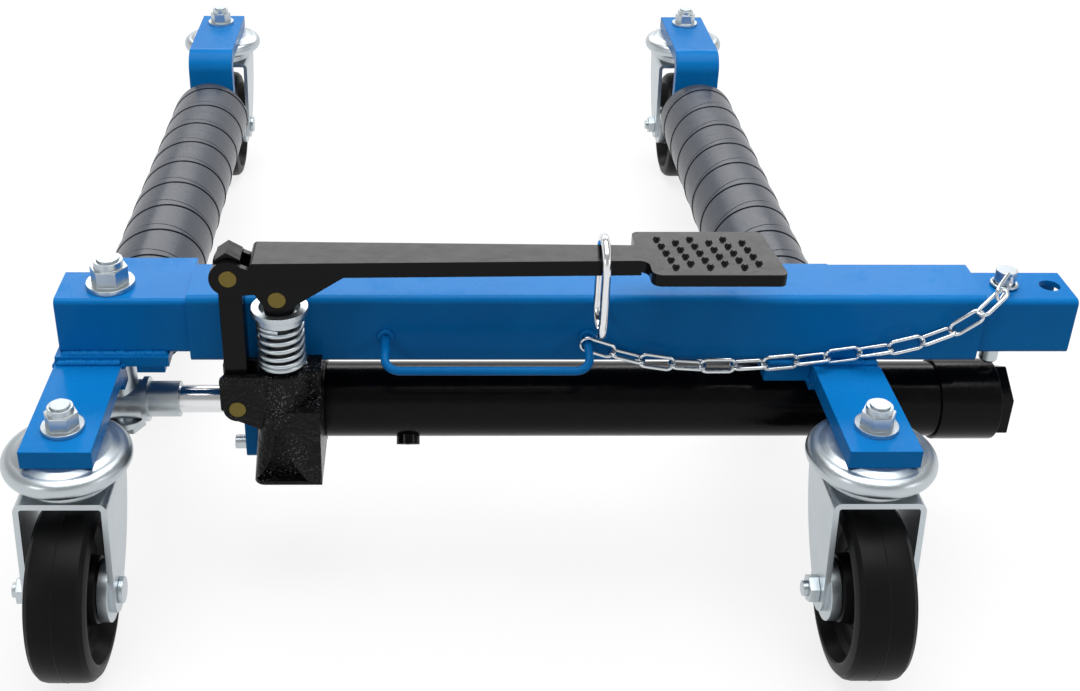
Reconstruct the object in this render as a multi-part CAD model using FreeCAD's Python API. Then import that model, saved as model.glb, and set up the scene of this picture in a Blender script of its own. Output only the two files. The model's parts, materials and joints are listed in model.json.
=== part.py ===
import FreeCAD, Part
import math
import os

# Sizes in millimetres. X runs along the beam from the left caster stems, Y along the rollers from the
# near caster stems, and Z up from the floor. A rise or drop is counted from the underside of the sleeve.
# The finished pieces are moved so that the origin is the middle of the footprint, on the floor.

# Beam: an outer sleeve with a smaller square tube that slides in it
caster_pitch = 608.7
beam_y = 80.2
sleeve_side = 40.0
sleeve_wall = 3.0
sleeve_corner = 4.0
sleeve_left = 54.8
sleeve_length = 423.0
sleeve_past_arm = 70.4
slide_gap = 0.5
slide_wall = 3.0
slide_corner = 3.0
slide_left = -15.6
slide_past_pin = 34.8
hole_radius = 5.6
hole_pitch = 25.0
pin_from_sleeve = 15.6

# Caster arms: flat bar with one bend
bar_width = 36.0
bar_thick = 10.0
bend_radius = 16.0
bar_overhang = 20.3
near_leg_y = 69.2
near_leg_drop = 1.0
leg_wheel_gap = 0.6
leg_below_axle = 22.0
stem_radius = 5.0
stem_gap = 0.05

# Cross plates under the tubes and the roller legs behind the beam
cross_inboard = 25.0
left_cross_thick = 6.0
right_cross_thick = 12.0
cross_lip = 3.6
roller_leg_y = 171.7
roller_tab_front = 105.0
weld_gap = 0.05

# Rollers
roller_drop = 50.9
roller_inset = 12.0
roller_radius = 28.5
roller_wall = 3.0
wrap_thick = 1.6
wrap_gap = 0.2
axle_radius = 10.0
axle_gap = 0.05
bush_length = 20.0
spacer_wall = 5.0
end_gap = 0.3

# Casters
wheel_radius = 46.4
wheel_width = 31.0
wheel_round = 4.0
wheel_rim = 9.0
wheel_web = 10.0
hub_radius = 17.0
hub_width = 29.0
trail = 21.0
cup_radius = 32.85
cup_flat_radius = 23.5
cup_wall = 2.4
cup_step = 1.6
bead_radius = 5.4
wheel_clear = 8.6
fork_drop = 18.5
fork_thick = 3.0
fork_bend = 4.5
fork_tip_radius = 11.5
fork_top_half = 25.0
fork_bulge = 7.0
fork_gap = 5.9
race_radius = 23.5
race_taper = 4.0
wheel_axle_radius = 4.0
wheel_sleeve_radius = 6.5
washer_radius = 16.4
axle_head_across = 13.0
axle_head_height = 5.3
rivet_head_radius = 6.8
rivet_head_height = 2.6

# Flange nuts, M10 on the stems and M12 on the ram bolt
nut_flange_radius = 10.9
nut_flange_thick = 2.4
nut_across = 15.0
nut_height = 7.6
nut_collar_radius = 6.6
nut_collar_height = 3.4
ram_nut_factor_share = 1.19
stem_stand = 1.2

# Cylinder and ram
cylinder_drop = 36.9
cylinder_radius = 21.0
cylinder_wall = 4.0
cylinder_past_sleeve = 3.2
cap_length = 24.0
cap_radius = 22.6
cap_overlap = 16.0
cap_across = 37.0
cap_hex_length = 7.0
piston_length = 20.0
piston_setback = 8.0
rod_radius = 7.75
rod_gap = 0.05
rod_left = 26.0
collar_radius = 10.0
collar_length = 17.5
rod_flange_radius = 12.6
rod_flange_thick = 3.2
eye_x = 11.8
eye_radius = 11.0
eye_half_length = 15.0
eye_spacer_radius = 8.5
eye_bolt_radius = 6.0
eye_bolt_gap = 0.1
eye_head_height = 7.0
eye_head_radius = 10.6
plug_x = 171.0
plug_radius = 6.5
plug_height = 4.6
plug_slot = 2.2
plug_angle = 52.0
plug_slot_share = 0.7

# Head plate between the sleeve and the pump block
head_x = 81.0
head_thick = 7.2
head_height = 63.4
head_corner = 4.0
head_hole_radius = 12.0
head_bolt_radius = 3.0
head_bolt_head = 3.9
head_bolt_length = 6.4
head_bolt_drop = 56.5
head_bolt_half = 13.6

# Pump block
pump_x = 106.0
pump_y = 43.7
block_left = 93.0
block_right = 125.5
block_drop = 56.4
shoulder_rise = 5.1
barrel_radius = 13.4
barrel_rise = 8.9
boss_radius = 23.0
foot_drop = 11.9
foot_flare = 4.0
foot_front = 27.0
foot_waist_front = 29.8
foot_corner = 6.0
bell_offset = 2.0
bell_lip = 2.2
bell_half = 14.0
bell_waist_half = 6.4
bell_throat_half = 2.8
bell_waist_rise = 12.0
bell_height = 27.5
bell_depth = 5.0
ear_gap = 0.4
ear_thick = 3.6
ear_radius = 7.4
ear_left = 8.6
ear_rise = 20.0
ear_chamfer = 2.4
plunger_radius = 7.0
plunger_gap = 0.05
plunger_bore = 46.0

# Foot lever, link bars and plunger
pivot_x = 82.1
pivot_rise = 66.0
link_foot_drop = 12.4
link_width = 12.0
link_thick = 12.0
knuckle_radius = 9.6
pin_radius = 4.7
pin_stand_out = 0.3
pin_gap = 0.05
side_gap = 0.4
plunger_pin_rise = 53.9
spring_seat_rise = 37.7
cap_ring_radius = 12.9
cap_ring_height = 3.6
cap_neck_radius = 12.2
cap_neck_height = 0.8
cap_crown_radius = 14.8
cap_crown_height = 3.0
cap_crown_bore = 10.6
tongue_width = 11.0
tongue_half = 7.2
tongue_rise = 60.5
slot_play = 1.5
slot_rise = 0.5
spring_wire = 2.5
spring_outer = 25.8
spring_turns = 5.0
spring_seat_gap = 0.3
lever_rise = 76.1
lever_plate = 5.0
lever_depth = 8.4
lever_flange = 3.4
cheek_thick = 3.4
lever_left = 93.0
lever_wide = 24.0
lever_narrow = 16.5
lug_radius = 7.8
lug_dip = 3.2
gusset_end = 141.0
nose_rise = 3.6
nose_reach = 6.4
nose_shift = 0.5
nose_side = 2.4
nose_overlap = 0.6
nose_clear = 1.2
lever_end_round = 2.6
pad_left = 289.0
pad_length = 67.0
pad_width = 46.0
pad_thick = 6.5
pad_corner = 3.4
pad_throat = 5.2
pad_heel = 1.6
pad_skew_front = 3.2
pad_skew_back = 1.9
neck_length = 14.0
stud_rows = 6
stud_columns = 5
stud_radius = 2.0
stud_tip_radius = 1.1
stud_height = 1.8
stud_pitch_x = 8.5
stud_pitch_y = 7.3
stud_slant = 1.4

# Wire bail, round-bar handle, chain and locking pin
bail_x = 270.8
bail_wire = 4.6
bail_front = 30.4
bail_back = 57.0
bail_rise = 27.6
bail_top_gap = 4.7
handle_x = 159.5
handle_width = 107.5
handle_wire = 4.6
handle_rise = 16.9
handle_reach = 22.0
handle_drop = 8.0
handle_bend = 8.0
chain_wire = 2.0
link_long = 20.8
link_wide = 9.6
link_slack = 0.5
chain_front_gap = 5.8
chain_end_x = 6.2
chain_end_y = 14.2
chain_end_z = 7.1
chain_turn_x = 13.4
chain_turn_y = 24.6
chain_turn_z = 6.1
chain_route_shares = ((0.0234, 0.3325), (0.1988, 0.0775), (0.3975, 0.0675), (0.6184, 0.2275), (0.7862, 0.44),
                      (0.8922, 0.7775))
pin_body_radius = 5.0
pin_tip_drop = 11.2
pin_chamfer = 2.0
pin_head_radius = 5.6
pin_head_height = 6.5
pin_stand = 3.4
ring_radius = 6.4
ring_wire = 2.0

# Worked-out places
cut_over = 2.0
beam_z = 2 * wheel_radius + wheel_clear + fork_thick + fork_drop + bar_thick
far_leg_reach = trail + wheel_radius + leg_wheel_gap + bar_thick
roller_z = beam_z - roller_drop
cylinder_z = beam_z - cylinder_drop
head_bottom = beam_z - head_height
head_bolt_z = beam_z - head_bolt_drop
block_bottom = beam_z - block_drop
block_shoulder = beam_z + shoulder_rise
barrel_top = beam_z + barrel_rise
foot_top = beam_z - foot_drop
pivot_z = beam_z + pivot_rise
link_foot_z = beam_z - link_foot_drop
plunger_pin_z = beam_z + plunger_pin_rise
spring_seat_z = beam_z + spring_seat_rise
tongue_top = beam_z + tongue_rise
lever_top = beam_z + lever_rise
bail_bottom = beam_z + bail_rise
handle_z = beam_z + handle_rise
pin_tip_z = beam_z - pin_tip_drop
slide_side = sleeve_side - 2 * sleeve_wall - 2 * slide_gap
slide_bottom = beam_z + sleeve_wall + slide_gap
slide_top = slide_bottom + slide_side
sleeve_right = sleeve_left + sleeve_length
arm_spacing = sleeve_right - sleeve_past_arm
sleeve_front = beam_y - sleeve_side / 2
block_back = sleeve_front - end_gap
sleeve_top = beam_z + sleeve_side
plate_bottom = beam_z - bar_thick
far_leg_y = caster_pitch - far_leg_reach
roller_front = roller_leg_y + roller_inset
roller_back = far_leg_y - roller_inset
lock_pin_x = sleeve_right + pin_from_sleeve
slide_right = lock_pin_x + slide_past_pin
cylinder_right = sleeve_right + cylinder_past_sleeve
fork_top = plate_bottom - fork_drop
cylinder_left = block_right
head_right = head_x + head_thick
cheek_inner = link_thick / 2 + side_gap
cheek_outer = cheek_inner + cheek_thick
middle_x = (slide_right - cup_radius) / 2
middle_y = (caster_pitch + cup_radius - trail - wheel_radius) / 2

X_AXIS = FreeCAD.Vector(1, 0, 0)
Y_AXIS = FreeCAD.Vector(0, 1, 0)
Z_AXIS = FreeCAD.Vector(0, 0, 1)
ORIGIN_SHIFT = FreeCAD.Vector(-middle_x, -middle_y, 0)


def vec(x, y, z):
    return FreeCAD.Vector(x, y, z)


def block(x0, x1, y0, y1, z0, z1):
    return Part.makeBox(x1 - x0, y1 - y0, z1 - z0, vec(x0, y0, z0))


def rod_x(x0, x1, y, z, radius):
    return Part.makeCylinder(radius, x1 - x0, vec(x0, y, z), X_AXIS)


def rod_y(y0, y1, x, z, radius):
    return Part.makeCylinder(radius, y1 - y0, vec(x, y0, z), Y_AXIS)


def rod_z(z0, z1, x, y, radius):
    return Part.makeCylinder(radius, z1 - z0, vec(x, y, z0), Z_AXIS)


def hexagon(centre, axis, across, height):
    """Hexagonal prism of a given width across flats, standing on centre along axis."""
    outline = [vec(0, 0, 0)] * 7
    corner = across / math.sqrt(3)
    for turn in range(7):
        angle = math.radians(60 * turn)
        outline[turn] = vec(corner * math.cos(angle), corner * math.sin(angle), 0)
    prism = Part.Face(Part.makePolygon(outline)).extrude(Z_AXIS * height)
    prism.Placement = FreeCAD.Placement(centre, FreeCAD.Rotation(Z_AXIS, axis))
    return prism


def line(a, b):
    return Part.LineSegment(a, b).toShape()


def arc(a, middle, b):
    return Part.Arc(a, middle, b).toShape()


def fuse(shapes):
    whole = shapes[0].fuse(shapes[1:])
    return whole.removeSplitter()


def group(shapes):
    return Part.makeCompound(shapes)


def edges_along(shape, axis):
    found = []
    for edge in shape.Edges:
        if isinstance(edge.Curve, Part.Line) and abs(edge.tangentAt(edge.FirstParameter).dot(axis)) > 0.999:
            found.append(edge)
    return found


def square_tube(x0, x1, z0, side, wall, corner):
    y0 = beam_y - side / 2
    outer = block(x0, x1, y0, y0 + side, z0, z0 + side)
    outer = outer.makeFillet(corner, edges_along(outer, X_AXIS))
    inner_side = side - 2 * wall
    inner_y = y0 + wall
    inner_z = z0 + wall
    inner = block(x0 - cut_over, x1 + cut_over, inner_y, inner_y + inner_side, inner_z, inner_z + inner_side)
    return outer.cut(inner)


def bent_bar(x_mid, tip_y, face_y, top_z, leg_z, stem_y=None):
    """Flat bar that runs level from its tip and bends down at face_y, with a hole for a caster stem."""
    way = 1 if face_y > tip_y else -1
    bend_y = face_y - way * bend_radius
    bend_z = top_z - bend_radius
    inner_radius = bend_radius - bar_thick
    half = math.sqrt(0.5)
    x0 = x_mid - bar_width / 2
    back_y = face_y - way * bar_thick
    tip_top = vec(x0, tip_y, top_z)
    bend_top = vec(x0, bend_y, top_z)
    bend_out = vec(x0, bend_y + way * bend_radius * half, bend_z + bend_radius * half)
    leg_top = vec(x0, face_y, bend_z)
    leg_end = vec(x0, face_y, leg_z)
    leg_end_in = vec(x0, back_y, leg_z)
    leg_top_in = vec(x0, back_y, bend_z)
    bend_in = vec(x0, bend_y + way * inner_radius * half, bend_z + inner_radius * half)
    bend_low = vec(x0, bend_y, top_z - bar_thick)
    tip_low = vec(x0, tip_y, top_z - bar_thick)
    outline = Part.Wire([
        line(tip_top, bend_top), arc(bend_top, bend_out, leg_top), line(leg_top, leg_end),
        line(leg_end, leg_end_in), line(leg_end_in, leg_top_in), arc(leg_top_in, bend_in, bend_low),
        line(bend_low, tip_low), line(tip_low, tip_top)])
    bar = Part.Face(outline).extrude(X_AXIS * bar_width)
    if stem_y is not None:
        hole = rod_z(top_z - bar_thick - cut_over, top_z + cut_over, x_mid, stem_y, stem_radius + stem_gap)
        bar = bar.cut(hole)
    return bar


def flange_nut(x, y, z, factor_share, bore):
    flange = rod_z(z, z + nut_flange_thick * factor_share, x, y, nut_flange_radius * factor_share)
    body_z = z + nut_flange_thick * factor_share
    body = hexagon(vec(x, y, body_z), Z_AXIS, nut_across * factor_share, nut_height * factor_share)
    collar_z = body_z + nut_height * factor_share
    collar_top = collar_z + nut_collar_height * factor_share
    collar = rod_z(collar_z, collar_top, x, y, nut_collar_radius * factor_share)
    nut = fuse([flange, body, collar])
    return nut.cut(rod_z(z - cut_over, collar_z + nut_collar_height + cut_over, x, y, bore))


def nut_stack(factor_share):
    return (nut_flange_thick + nut_height + nut_collar_height) * factor_share


# Casters
def caster_stem(x, y):
    head_z = fork_top - fork_thick - axle_head_height - end_gap
    top = beam_z + nut_stack(1) + stem_stand
    shank = rod_z(head_z, top, x, y, stem_radius)
    head = hexagon(vec(x, y, head_z), Z_AXIS, nut_across, axle_head_height)
    nut = flange_nut(x, y, beam_z, 1, stem_radius + stem_gap)
    return group([fuse([shank, head]), nut])


def caster_cup(x, y):
    """Pressed ball-race cup, clamped under the bar: a flat top, a shallow step and a rolled bead."""
    z = plate_bottom
    bore = stem_radius + stem_gap
    bead_r = cup_radius - bead_radius
    bead_z = z - cup_step - bead_radius
    half = math.sqrt(0.5)
    inner = bead_radius - cup_wall
    under = z - cup_wall

    def at(radius, height):
        return vec(x + radius, y, height)

    outline = Part.Wire([
        line(at(bore, z), at(cup_flat_radius, z)), line(at(cup_flat_radius, z), at(bead_r, z - cup_step)),
        arc(at(bead_r, z - cup_step), at(bead_r + bead_radius * half, bead_z + bead_radius * half),
            at(cup_radius, bead_z)),
        arc(at(cup_radius, bead_z), at(bead_r + bead_radius * half, bead_z - bead_radius * half),
            at(bead_r, bead_z - bead_radius)),
        line(at(bead_r, bead_z - bead_radius), at(bead_r, bead_z - inner)),
        arc(at(bead_r, bead_z - inner), at(bead_r + inner, bead_z), at(bead_r, bead_z + inner)),
        line(at(bead_r, bead_z + inner), at(cup_flat_radius, under)),
        line(at(cup_flat_radius, under), at(bore, under)), line(at(bore, under), at(bore, z))])
    return Part.Face(outline).revolve(vec(x, y, 0), Z_AXIS, 360)


def fork_channel(x, y):
    """Sheet bent to a U across the wheel, as deep as the crown."""
    outer = hub_width / 2 + fork_gap + fork_thick
    inner = outer - fork_thick
    inner_bend = fork_bend - fork_thick
    bend_x = outer - fork_bend
    bend_z = fork_top - fork_bend
    low = wheel_radius - fork_tip_radius - cut_over
    half = math.sqrt(0.5)
    y0 = y - fork_top_half - trail

    def at(across, height):
        return vec(x + across, y0, height)

    edges = []
    for side in (-1, 1):
        edges.append(line(at(side * outer, low), at(side * outer, bend_z)))
        edges.append(arc(at(side * outer, bend_z),
                         at(side * (bend_x + fork_bend * half), bend_z + fork_bend * half),
                         at(side * bend_x, fork_top)))
        edges.append(arc(at(side * inner, bend_z),
                         at(side * (bend_x + inner_bend * half), bend_z + inner_bend * half),
                         at(side * bend_x, fork_top - fork_thick)))
        edges.append(line(at(side * inner, low), at(side * inner, bend_z)))
        edges.append(line(at(side * inner, low), at(side * outer, low)))
    edges.append(line(at(-bend_x, fork_top), at(bend_x, fork_top)))
    edges.append(line(at(-bend_x, fork_top - fork_thick), at(bend_x, fork_top - fork_thick)))
    outline = Part.Wire(Part.__sortEdges__(edges))
    return Part.Face(outline).extrude(Y_AXIS * (2 * fork_top_half + 2 * trail))


def fork_side(x, y):
    """Side view of the fork: a broad crown, a bulging back and a round tip at the axle."""
    outer = hub_width / 2 + fork_gap + fork_thick + cut_over
    x0 = x - outer
    axle_y = y - trail
    tip_back = vec(x0, axle_y + fork_tip_radius, wheel_radius)
    tip_front = vec(x0, axle_y - fork_tip_radius, wheel_radius)
    crown_back = vec(x0, y + fork_top_half, fork_top)
    crown_front = vec(x0, y - fork_top_half, fork_top)
    middle_z = (fork_top + wheel_radius) / 2
    bulge = vec(x0, (crown_back.y + tip_back.y) / 2 + fork_bulge, middle_z)
    outline = Part.Wire([
        line(crown_front, crown_back), arc(crown_back, bulge, tip_back),
        arc(tip_back, vec(x0, axle_y, wheel_radius - fork_tip_radius), tip_front),
        line(tip_front, crown_front)])
    return Part.Face(outline).extrude(X_AXIS * (2 * outer))


def caster_fork(x, y):
    """Fork pressed from one sheet, with the lower ball race on its crown."""
    outer = hub_width / 2 + fork_gap + fork_thick
    pressed = fork_channel(x, y).common(fork_side(x, y))
    race_rise = plate_bottom - cup_wall - end_gap - fork_top
    race = Part.makeCone(race_radius, race_radius - race_taper, race_rise, vec(x, y, fork_top), Z_AXIS)
    fork = fuse([pressed, race])
    bore = rod_z(fork_top - fork_thick - cut_over, plate_bottom, x, y, stem_radius + axle_gap)
    axle_hole = rod_x(x - outer - cut_over, x + outer + cut_over, y - trail, wheel_radius,
                      wheel_axle_radius + axle_gap)
    return fork.cut(bore).cut(axle_hole)


def caster_axle(x, y):
    """Axle bolt and nut, with the spacer sleeve and washers that the wheel turns on."""
    inner = hub_width / 2 + fork_gap
    outer = inner + fork_thick
    axle_y = y - trail
    left = x - outer - axle_head_height - axle_head_height / 2
    shank = rod_x(left, x + outer, axle_y, wheel_radius, wheel_axle_radius)
    head = rod_x(x + outer, x + outer + rivet_head_height, axle_y, wheel_radius, rivet_head_radius)
    nut = hexagon(vec(x - outer - axle_head_height, axle_y, wheel_radius), X_AXIS, axle_head_across,
                  axle_head_height)
    nut = nut.cut(rod_x(left, x, axle_y, wheel_radius, wheel_axle_radius + axle_gap))
    sleeve = rod_x(x - inner, x + inner, axle_y, wheel_radius, wheel_sleeve_radius)
    for side in (-1, 1):
        face = hub_width / 2 + end_gap
        edge = [x + side * face, x + side * inner]
        sleeve = sleeve.fuse(rod_x(min(edge), max(edge), axle_y, wheel_radius, washer_radius))
    bore = rod_x(x - outer, x + outer, axle_y, wheel_radius, wheel_axle_radius + axle_gap)
    return group([fuse([shank, head]), nut, sleeve.removeSplitter().cut(bore)])


def caster_wheel(x, y):
    """Moulded wheel with a rounded tread, a recessed web and a hub."""
    half = wheel_width / 2
    web = wheel_web / 2
    rim = wheel_radius - wheel_rim
    hub = hub_width / 2
    bore = wheel_sleeve_radius + axle_gap
    z = wheel_radius
    corner = wheel_round * (1 - math.sqrt(0.5))
    axle_y = y - trail
    shoulder = wheel_radius - wheel_round
    tread = half - wheel_round

    def at(across, radius):
        return vec(x + across, axle_y, z + radius)

    outline = Part.Wire([
        line(at(-tread, wheel_radius), at(tread, wheel_radius)),
        arc(at(tread, wheel_radius), at(half - corner, wheel_radius - corner), at(half, shoulder)),
        line(at(half, shoulder), at(half, rim)), line(at(half, rim), at(web, rim - web)),
        line(at(web, rim - web), at(web, hub_radius + web)),
        line(at(web, hub_radius + web), at(hub, hub_radius)),
        line(at(hub, hub_radius), at(hub, bore)), line(at(hub, bore), at(-hub, bore)),
        line(at(-hub, bore), at(-hub, hub_radius)), line(at(-hub, hub_radius), at(-web, hub_radius + web)),
        line(at(-web, hub_radius + web), at(-web, rim - web)), line(at(-web, rim - web), at(-half, rim)),
        line(at(-half, rim), at(-half, shoulder)),
        arc(at(-half, shoulder), at(corner - half, wheel_radius - corner), at(-tread, wheel_radius))])
    return Part.Face(outline).revolve(vec(x, axle_y, z), X_AXIS, 360)


# Rollers
def roller_tube(x):
    outer = rod_y(roller_front, roller_back, x, roller_z, roller_radius)
    bore = roller_radius - roller_wall
    return outer.cut(rod_y(roller_front - cut_over, roller_back + cut_over, x, roller_z, bore))


def roller_wrap(x):
    inner = roller_radius + wrap_gap
    outer = rod_y(roller_front, roller_back, x, roller_z, inner + wrap_thick)
    return outer.cut(rod_y(roller_front - cut_over, roller_back + cut_over, x, roller_z, inner))


def roller_bushes(x):
    outer_radius = roller_radius - roller_wall - wrap_gap
    bushes = []
    for start in (roller_front, roller_back - bush_length):
        bush = rod_y(start, start + bush_length, x, roller_z, outer_radius)
        bore = rod_y(start - cut_over, start + bush_length + cut_over, x, roller_z, axle_radius + axle_gap)
        bushes.append(bush.cut(bore))
    return group(bushes)


def roller_axle(x):
    shaft = rod_y(roller_leg_y - bar_thick, far_leg_y + bar_thick, x, roller_z, axle_radius)
    pieces = [shaft]
    for start, end in ((roller_leg_y, roller_front - end_gap), (roller_back + end_gap, far_leg_y)):
        collar = rod_y(start, end, x, roller_z, axle_radius + axle_gap + spacer_wall)
        bore = rod_y(start - cut_over, end + cut_over, x, roller_z, axle_radius + axle_gap)
        pieces.append(collar.cut(bore))
    return group(pieces)


def axle_hole(x):
    return rod_y(roller_leg_y - bar_thick - cut_over, far_leg_y + bar_thick + cut_over, x, roller_z,
                 axle_radius + axle_gap)


def near_bracket(x):
    leg_z = beam_z - bend_radius - near_leg_drop
    return bent_bar(x, -bar_overhang, near_leg_y, beam_z, leg_z, 0)


def far_bracket(x):
    bar = bent_bar(x, caster_pitch + bar_overhang, far_leg_y, beam_z, roller_z - leg_below_axle, caster_pitch)
    return bar.cut(axle_hole(x))


def roller_leg(x, top_z):
    bar = bent_bar(x, roller_tab_front, roller_leg_y, top_z, roller_z - leg_below_axle)
    return bar.cut(axle_hole(x))


def cross_plate(x0, x1, bar_x, front_y, top_z, thick):
    """Plate under a tube from its front to the roller leg, hollowed where the bent bar meets it."""
    plate = block(x0, x1, front_y, roller_leg_y, top_z - thick, top_z)
    reach = bar_width / 2 + weld_gap
    bend = rod_x(bar_x - reach, bar_x + reach, near_leg_y - bend_radius, beam_z - bend_radius,
                 bend_radius + weld_gap)
    return plate.cut(bend)


# Beam
def sleeve():
    return square_tube(sleeve_left, sleeve_right, beam_z, sleeve_side, sleeve_wall, sleeve_corner)


def slide_tube():
    tube = square_tube(slide_left, slide_right, slide_bottom, slide_side, slide_wall, slide_corner)
    for x in (lock_pin_x, lock_pin_x + hole_pitch):
        tube = tube.cut(rod_z(slide_bottom - cut_over, slide_top + cut_over, x, beam_y, hole_radius))
    bolt = rod_z(slide_bottom - cut_over, slide_top + cut_over, eye_x, beam_y, eye_bolt_radius + eye_bolt_gap)
    return tube.cut(bolt)


def left_cross_plate():
    front = beam_y - slide_side / 2 - cross_lip
    left = -bar_width / 2
    plate = cross_plate(left, -left + cross_inboard, 0, front, slide_bottom, left_cross_thick)
    bolt = rod_z(slide_bottom - left_cross_thick - cut_over, slide_bottom + cut_over, eye_x, beam_y,
                 eye_bolt_radius + eye_bolt_gap)
    return plate.cut(bolt)


def right_cross_plate():
    left = arm_spacing - bar_width / 2 - cross_inboard
    right = arm_spacing + bar_width / 2
    return cross_plate(left, right, arm_spacing, sleeve_front, beam_z, right_cross_thick)


# Cylinder and ram
def cylinder_tube():
    outer = rod_x(cylinder_left, cylinder_right, beam_y, cylinder_z, cylinder_radius)
    return outer.cut(rod_x(cylinder_left - cut_over, cylinder_right + cut_over, beam_y, cylinder_z,
                           cylinder_radius - cylinder_wall))


def cylinder_cap():
    end = cylinder_right + cap_length
    skirt = rod_x(cylinder_right - cap_overlap, end - cap_hex_length, beam_y, cylinder_z, cap_radius)
    nose = hexagon(vec(end - cap_hex_length, beam_y, cylinder_z), X_AXIS, cap_across, cap_hex_length)
    socket = rod_x(cylinder_right - cap_overlap - cut_over, cylinder_right, beam_y, cylinder_z,
                   cylinder_radius + weld_gap)
    return fuse([skirt, nose]).cut(socket)


def piston():
    right = cylinder_right - piston_setback
    bore = rod_x(right - piston_length - cut_over, right + cut_over, beam_y, cylinder_z, rod_radius + rod_gap)
    return rod_x(right - piston_length, right, beam_y, cylinder_z,
                 cylinder_radius - cylinder_wall - rod_gap).cut(bore)


def ram_rod():
    return rod_x(rod_left, cylinder_right - piston_setback, beam_y, cylinder_z, rod_radius)


def rod_end():
    """Round bar end with a cross hole, its spacer, and a flange and collar that screw on the ram."""
    eye_top = slide_bottom - left_cross_thick
    eye = rod_x(eye_x - eye_half_length, rod_left, beam_y, cylinder_z, eye_radius)
    spacer = rod_z(cylinder_z, eye_top, eye_x, beam_y, eye_spacer_radius)
    flange = rod_x(rod_left - rod_flange_thick, rod_left, beam_y, cylinder_z, rod_flange_radius)
    collar = rod_x(rod_left, rod_left + collar_length, beam_y, cylinder_z, collar_radius)
    socket = rod_x(rod_left, rod_left + collar_length + cut_over, beam_y, cylinder_z, rod_radius + rod_gap)
    eye_bottom = cylinder_z - eye_radius
    hole = rod_z(eye_bottom - cut_over, eye_top + cut_over, eye_x, beam_y, eye_bolt_radius + eye_bolt_gap)
    return fuse([eye, spacer, flange, collar]).cut(socket).cut(hole)


def eye_bolt():
    eye_bottom = cylinder_z - eye_radius
    factor = ram_nut_factor_share
    top = slide_top + nut_stack(factor) + stem_stand
    shank = rod_z(eye_bottom, top, eye_x, beam_y, eye_bolt_radius)
    head = rod_z(eye_bottom - eye_head_height / 2, eye_bottom, eye_x, beam_y, eye_head_radius)
    hex_head = hexagon(vec(eye_x, beam_y, eye_bottom - eye_head_height), Z_AXIS, nut_across * factor,
                       eye_head_height / 2)
    nut = flange_nut(eye_x, beam_y, slide_top, factor, eye_bolt_radius + eye_bolt_gap)
    return group([fuse([shank, head, hex_head]), nut])


def drain_plug():
    angle = math.radians(plug_angle)
    out = vec(0, -math.cos(angle), -math.sin(angle))
    seat = vec(plug_x, beam_y, cylinder_z) + out * (cylinder_radius - cylinder_wall / 2)
    plug = Part.makeCylinder(plug_radius, plug_height + cylinder_wall / 2, seat, out)
    shell = rod_x(plug_x - plug_radius * 2, plug_x + plug_radius * 2, beam_y, cylinder_z,
                  cylinder_radius + weld_gap)
    plug = plug.cut(shell)
    slot = block(-plug_radius, plug_radius, -plug_slot / 2, plug_slot / 2, 0, plug_slot)
    slot = slot.fuse(block(-plug_slot / 2, plug_slot / 2, -plug_radius, plug_radius, 0, plug_slot))
    top = seat + out * (plug_height + cylinder_wall / 2 - plug_slot / 2)
    slot.Placement = FreeCAD.Placement(top, FreeCAD.Rotation(Z_AXIS, out))
    return plug.cut(slot.common(rod_around(top, out, plug_radius * plug_slot_share)))


def rod_around(start, axis, radius):
    return Part.makeCylinder(radius, cut_over * 2, start, axis)


def head_plate():
    y0 = sleeve_front
    plate = block(head_x, head_right, y0, y0 + sleeve_side, head_bottom, beam_z)
    low = [edge for edge in edges_along(plate, X_AXIS) if edge.CenterOfMass.z < cylinder_z]
    plate = plate.makeFillet(head_corner, low)
    plate = plate.cut(rod_x(head_x - cut_over, head_right + cut_over, beam_y, cylinder_z, head_hole_radius))
    return plate.cut(head_bolt_holes())


def head_bolt_places():
    return [(beam_y - head_bolt_half, head_bolt_z), (beam_y + head_bolt_half, head_bolt_z)]


def head_bolt_holes():
    holes = []
    for y, z in head_bolt_places():
        holes.append(rod_x(head_x - cut_over, head_right + head_bolt_length + cut_over, y, z,
                           head_bolt_radius + weld_gap))
    return holes[0].fuse(holes[1:])


def head_bolts():
    bolts = []
    for y, z in head_bolt_places():
        head = rod_x(head_x - head_bolt_length, head_x, y, z, head_bolt_head)
        shank = rod_x(head_x, head_right + head_bolt_length, y, z, head_bolt_radius)
        bolts.append(fuse([head, shank]))
    return group(bolts)


# Pump
def pump_block():
    """Cast block: upright pump barrel, cylinder boss, two link ears and a foot with a bell-shaped recess."""
    barrel = rod_z(foot_top - foot_flare, barrel_top, pump_x, pump_y, barrel_radius)
    body = block(block_left, block_right, pump_y, beam_y, block_bottom, foot_top)
    shoulder = block(pump_x, block_right, pump_y, block_back, foot_top, block_shoulder)
    boss = rod_x(head_right, cylinder_left, beam_y, cylinder_z, boss_radius)
    top = foot_outline(foot_top, block_left, foot_waist_front, barrel_radius)
    bottom = foot_outline(block_bottom, block_left - foot_flare, foot_front, foot_corner)
    foot = Part.makeLoft([top, bottom], True, True)
    cast = fuse([barrel, body, shoulder, boss, foot] + link_ears())
    cast = cast.cut(foot_bell())
    cast = cast.cut(rod_z(barrel_top - plunger_bore, barrel_top + cut_over, pump_x, pump_y,
                          plunger_radius + plunger_gap))
    cast = cast.cut(rod_x(head_right - cut_over, cylinder_left + cut_over, beam_y, cylinder_z,
                          rod_radius + rod_gap))
    reach = barrel_radius + cut_over
    cast = cast.cut(rod_y(pump_y - reach, pump_y + reach, pivot_x, link_foot_z, pin_radius + pin_gap))
    return cast.cut(head_bolt_holes())


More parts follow.
